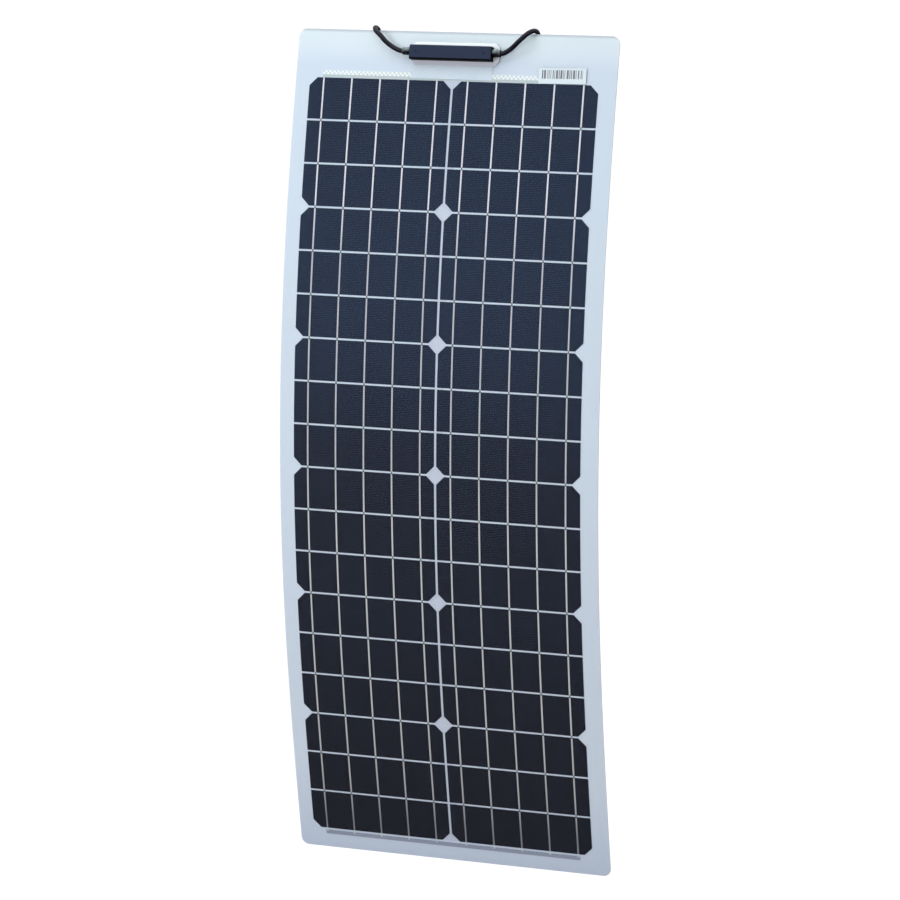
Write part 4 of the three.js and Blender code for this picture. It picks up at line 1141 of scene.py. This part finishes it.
def add_label():
    """A paper label with made-up bars in its upper part, stuck on a little askew."""
    right = SHEET_WIDTH / 2 - CELLS_SHIFT - LABEL_INSET
    left = right - LABEL_WIDTH
    bottom = LABEL_ABOVE_CELLS - CELLS_TOP
    back = FILM_FRONT + LAYER_GAP
    front = back + LABEL_THICKNESS
    bm = bmesh.new()
    slab(bm, rounded_rectangle(left, bottom, right, bottom + LABEL_HEIGHT, LABEL_CORNER, 4), back, front)
    draw = random.Random(7)
    x, last = left + BARS_FROM_LEFT, right - BARS_FROM_RIGHT
    low, high = bottom + BARS_FROM_BOTTOM, bottom + LABEL_HEIGHT - BARS_FROM_TOP
    while x < last:
        bar = draw.choice(BAR_WIDTHS)
        slab(bm, rectangle(x, low, min(x + bar, last), high), front, front + INK_THICKNESS, 1)
        x += bar + draw.choice(BAR_GAPS)
    middle = ((left + right) / 2, 0, bottom + LABEL_HEIGHT / 2)
    bmesh.ops.rotate(bm, cent=middle, matrix=Matrix.Rotation(-LABEL_TURN, 3, "Y"), verts=bm.verts)
    make_piece("paper_label", bm, [PAPER, INK], "serial_label")


def sealant_outline():
    """The pad's cut-cornered outline from the box's middle, in short steps."""
    x, z, cut = SEALANT_LENGTH / 2, SEALANT_WIDTH / 2, SEALANT_CHAMFER
    corners = [(cut - x, -z), (x - cut, -z), (x, cut - z), (x, z - cut)]
    corners += [(x - cut, z), (cut - x, z), (-x, z - cut), (-x, cut - z)]
    outline = []
    for (x0, z0), (x1, z1) in zip(corners, corners[1:] + corners[:1]):
        steps = max(2, round(math.hypot(x1 - x0, z1 - z0) / SEALANT_STEP))
        outline += [(x0 + (x1 - x0) * i / steps, z0 + (z1 - z0) * i / steps) for i in range(steps)]
    return [(SEALANT_SHIFT + x, z) for x, z in outline]


def add_sealant():
    """The bed of sealant: a cut-cornered pad that slopes up to the sides of the box."""
    outer = sealant_outline()
    half_x, half_z = BOX_LENGTH / 2 - BEAD_UNDER_BOX, BOX_WIDTH / 2 - BEAD_UNDER_BOX
    inner = [(min(max(x, -half_x), half_x), min(max(z, -half_z), half_z)) for x, z in outer]
    draw = random.Random(3)
    reach = SEALANT_WANDER
    wander = [(draw.uniform(-reach, reach), draw.uniform(-reach, reach)) for _ in outer]
    # Each ring is a share of the way in from the outer edge, and a depth.
    edge_front = SEALANT_BACK + SEALANT_RIM_FRONT
    bead_front = SEALANT_FRONT + BEAD_RISE
    rings = [(0, SEALANT_BACK), (0, SEALANT_BACK + SEALANT_RIM), (0.06, edge_front)]
    for share in (0.35, 0.7, 1):
        rings.append((share, edge_front + (bead_front - edge_front) * share**0.9))
    rings.append((1, SEALANT_FRONT))
    bm = bmesh.new()
    loops = []
    for share, depth in rings:
        loop = []
        for (x0, z0), (x1, z1), (dx, dz) in zip(outer, inner, wander):
            x = x0 + (x1 - x0) * share + dx * (1 - share)
            z = z0 + (z1 - z0) * share + dz * (1 - share)
            loop.append(bm.verts.new((BOX_SHIFT + x, -depth, BOX_UP + z)))
        loops.append(loop)
    bm.faces.new(loops[0])
    bm.faces.new(loops[-1][::-1])
    bridge(bm, loops)
    bmesh.ops.remove_doubles(bm, verts=bm.verts, dist=1e-6)
    make_piece("sealant_pad", bm, [SILICONE], "box_sealant", smooth_angle=50)


def add_diode():
    """A bypass diode: moulded body with a pale band, on two tinned leads."""
    terminal_back = BOX_FLOOR_FRONT + LAYER_GAP
    depth = terminal_back + LAYER_GAP + max(DIODE_RADIUS, TERMINAL_THICKNESS + DIODE_LEAD_RADIUS)
    reach = TERMINAL_INNER_X + TERMINAL_THICKNESS + DIODE_LEAD_PAST_TERMINAL
    half = DIODE_LENGTH / 2
    centre = in_box(0, 0, depth)
    bm = bmesh.new()
    for radius, start, end, index in (
        (DIODE_RADIUS, -half, half, 0),
        (DIODE_RADIUS + DIODE_BAND_PROUD, half - DIODE_BAND_START, half - DIODE_BAND_END, 1),
        (DIODE_LEAD_RADIUS, -reach, reach, 2),
    ):
        profile = soften(rod(radius, start, end), 0.25 * MM)
        turn_profile(bm, profile, centre, (1, 0, 0), 32, material_index=index)
    make_piece("diode", bm, [DIODE_BLACK, BAND, TIN], "bypass_diode", bent=False)


def add_core(word, side):
    """The lead's stripped core, from the gland's stub to its terminal."""
    start = in_box(side * (BOX_LENGTH / 2 - BOX_WALL), GLAND_AXIS_RISE, GLAND_DEPTH)
    end = in_box(side * (TERMINAL_INNER_X + TERMINAL_LENGTH), GLAND_AXIS_RISE, GLAND_DEPTH)
    reach = (end - start).length
    bm = bmesh.new()
    sleeve = rod(CORE_SLEEVE_RADIUS, 0, 0.6 * reach)
    wire = rod(CORE_WIRE_RADIUS, 0.5 * reach, reach + CORE_ON_TERMINAL)
    turn_profile(bm, soften(sleeve, 0.2 * MM), start, (-side, 0, 0), 32)
    turn_profile(bm, soften(wire, 0.2 * MM), start, (-side, 0, 0), 24, material_index=1)
    make_piece(f"core_{word}", bm, [CONNECTOR, TIN], bent=False)


def dress_node(node, material, ease):
    """Gives a CAD solid a finish and eases its edges."""
    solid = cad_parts[node]
    solid.data.materials.clear()
    solid.data.materials.append(material)
    weld = solid.modifiers.new("weld", "WELD")
    weld.merge_threshold = 1e-6
    bevel = solid.modifiers.new("bevel", "BEVEL")
    bevel.width = ease
    bevel.segments = 2
    bevel.limit_method = "ANGLE"
    bevel.angle_limit = math.radians(35)
    bevel.use_clamp_overlap = True


for layer in (
    ("white_back", "back_sheet", "white_backing", 0, BACK_SHEET_THICKNESS, 0.35 * MM, WHITE, CUT_EDGE),
    ("clear_resin", "encapsulant", "clear_encapsulant", RESIN_BACK, RESIN_FRONT, 0.05 * MM, RESIN_CLEAR),
    ("clear_front", "front_film", "clear_film", FILM_BACK, FILM_FRONT, 0.1 * MM, FILM_CLEAR),
):
    sheet_layer(*layer)
for word, side in (("left", -1), ("right", 1)):
    for row in range(ROWS):
        add_cell(word, side, row)
    add_upper_bus(word, side)
    add_core(word, side)
    dress_node(f"terminal_{word}", TIN, 0.15 * MM)
lower = (-BUS_END, LOWER_BUS_BOTTOM, BUS_END, LOWER_BUS_TOP)
add_bus("bus_lower", "bus_ribbon_lower", [lower], LOWER_BUS)
add_bus_cover()
add_label()
add_sealant()
add_diode()
dress_node("box_base", BASE_PLASTIC, 0.3 * MM)
dress_node("box_lid", LID_PLASTIC, 0.3 * MM)


# Stage and light


def seen_directly(tree):
    """1 for the camera's own rays and those that mirrors and glass pass on, and 0 for other light."""
    path = add_node(tree, "LightPath")
    seen = path.outputs["Is Camera Ray"]
    for kind in ("Is Glossy Ray", "Is Transmission Ray"):
        seen = math_node(tree, "MAXIMUM", seen, path.outputs[kind])
    return seen


def add_floor():
    """A pale floor that looks white to the camera, in reflections and through clear layers."""
    bm = bmesh.new()
    bmesh.ops.create_circle(bm, cap_ends=True, segments=64, radius=FLOOR_RADIUS)
    mesh = bpy.data.meshes.new("floor")
    bm.to_mesh(mesh)
    bm.free()
    made = bpy.data.materials.new("floor_white")
    made.use_nodes = True
    tree = made.node_tree
    tree.nodes.clear()
    seen = seen_directly(tree)
    glow = add_node(tree, "Emission", {0: (1, 1, 1, 1), 1: times(tree, seen, 0.93)})
    pale = math_node(tree, "MULTIPLY_ADD", seen, -0.3, 0.45)
    pale = add_node(tree, "CombineXYZ", {0: pale, 1: pale, 2: pale}).outputs[0]
    matt = add_node(tree, "BsdfDiffuse", {0: pale})
    both = add_node(tree, "AddShader", {0: glow.outputs[0], 1: matt.outputs[0]})
    add_node(tree, "OutputMaterial", {0: both.outputs[0]})
    mesh.materials.append(made)
    floor = new_object("floor", mesh)
    floor.location.z = FLOOR_HEIGHT


def light_world():
    """White where it is seen, and a soft grey sky as a light."""
    world = bpy.data.worlds.new("studio")
    bpy.context.scene.world = world
    world.use_nodes = True
    tree = world.node_tree
    tree.nodes.clear()
    direction = add_node(tree, "TexCoord").outputs["Generated"]
    height = add_node(tree, "SeparateXYZ", {0: direction}).outputs[2]
    sky = math_node(tree, "MULTIPLY_ADD", math_node(tree, "MAXIMUM", height, 0), 0.24, 0.60)
    grey = add_node(tree, "CombineXYZ", {0: sky, 1: sky, 2: sky}).outputs[0]
    light = mix_colours(tree, seen_directly(tree), grey, (1, 1, 1))
    ground = add_node(tree, "Background", {0: light, 1: 1})
    add_node(tree, "OutputWorld", {0: ground.outputs[0]})


def add_softbox(name, place, target, width, height, power):
    data = bpy.data.lights.new(name, "AREA")
    data.shape = "RECTANGLE"
    data.size = width
    data.size_y = height
    data.energy = power
    lamp = new_object(name, data)
    lamp.location = place
    lamp.rotation_euler = (Vector(target) - Vector(place)).to_track_quat("-Z", "Y").to_euler()


add_floor()
light_world()
for name, settings in SOFTBOXES.items():
    add_softbox(name, *settings)

bpy.context.scene.view_settings.view_transform = "Standard"

bpy.context.view_layer.update()
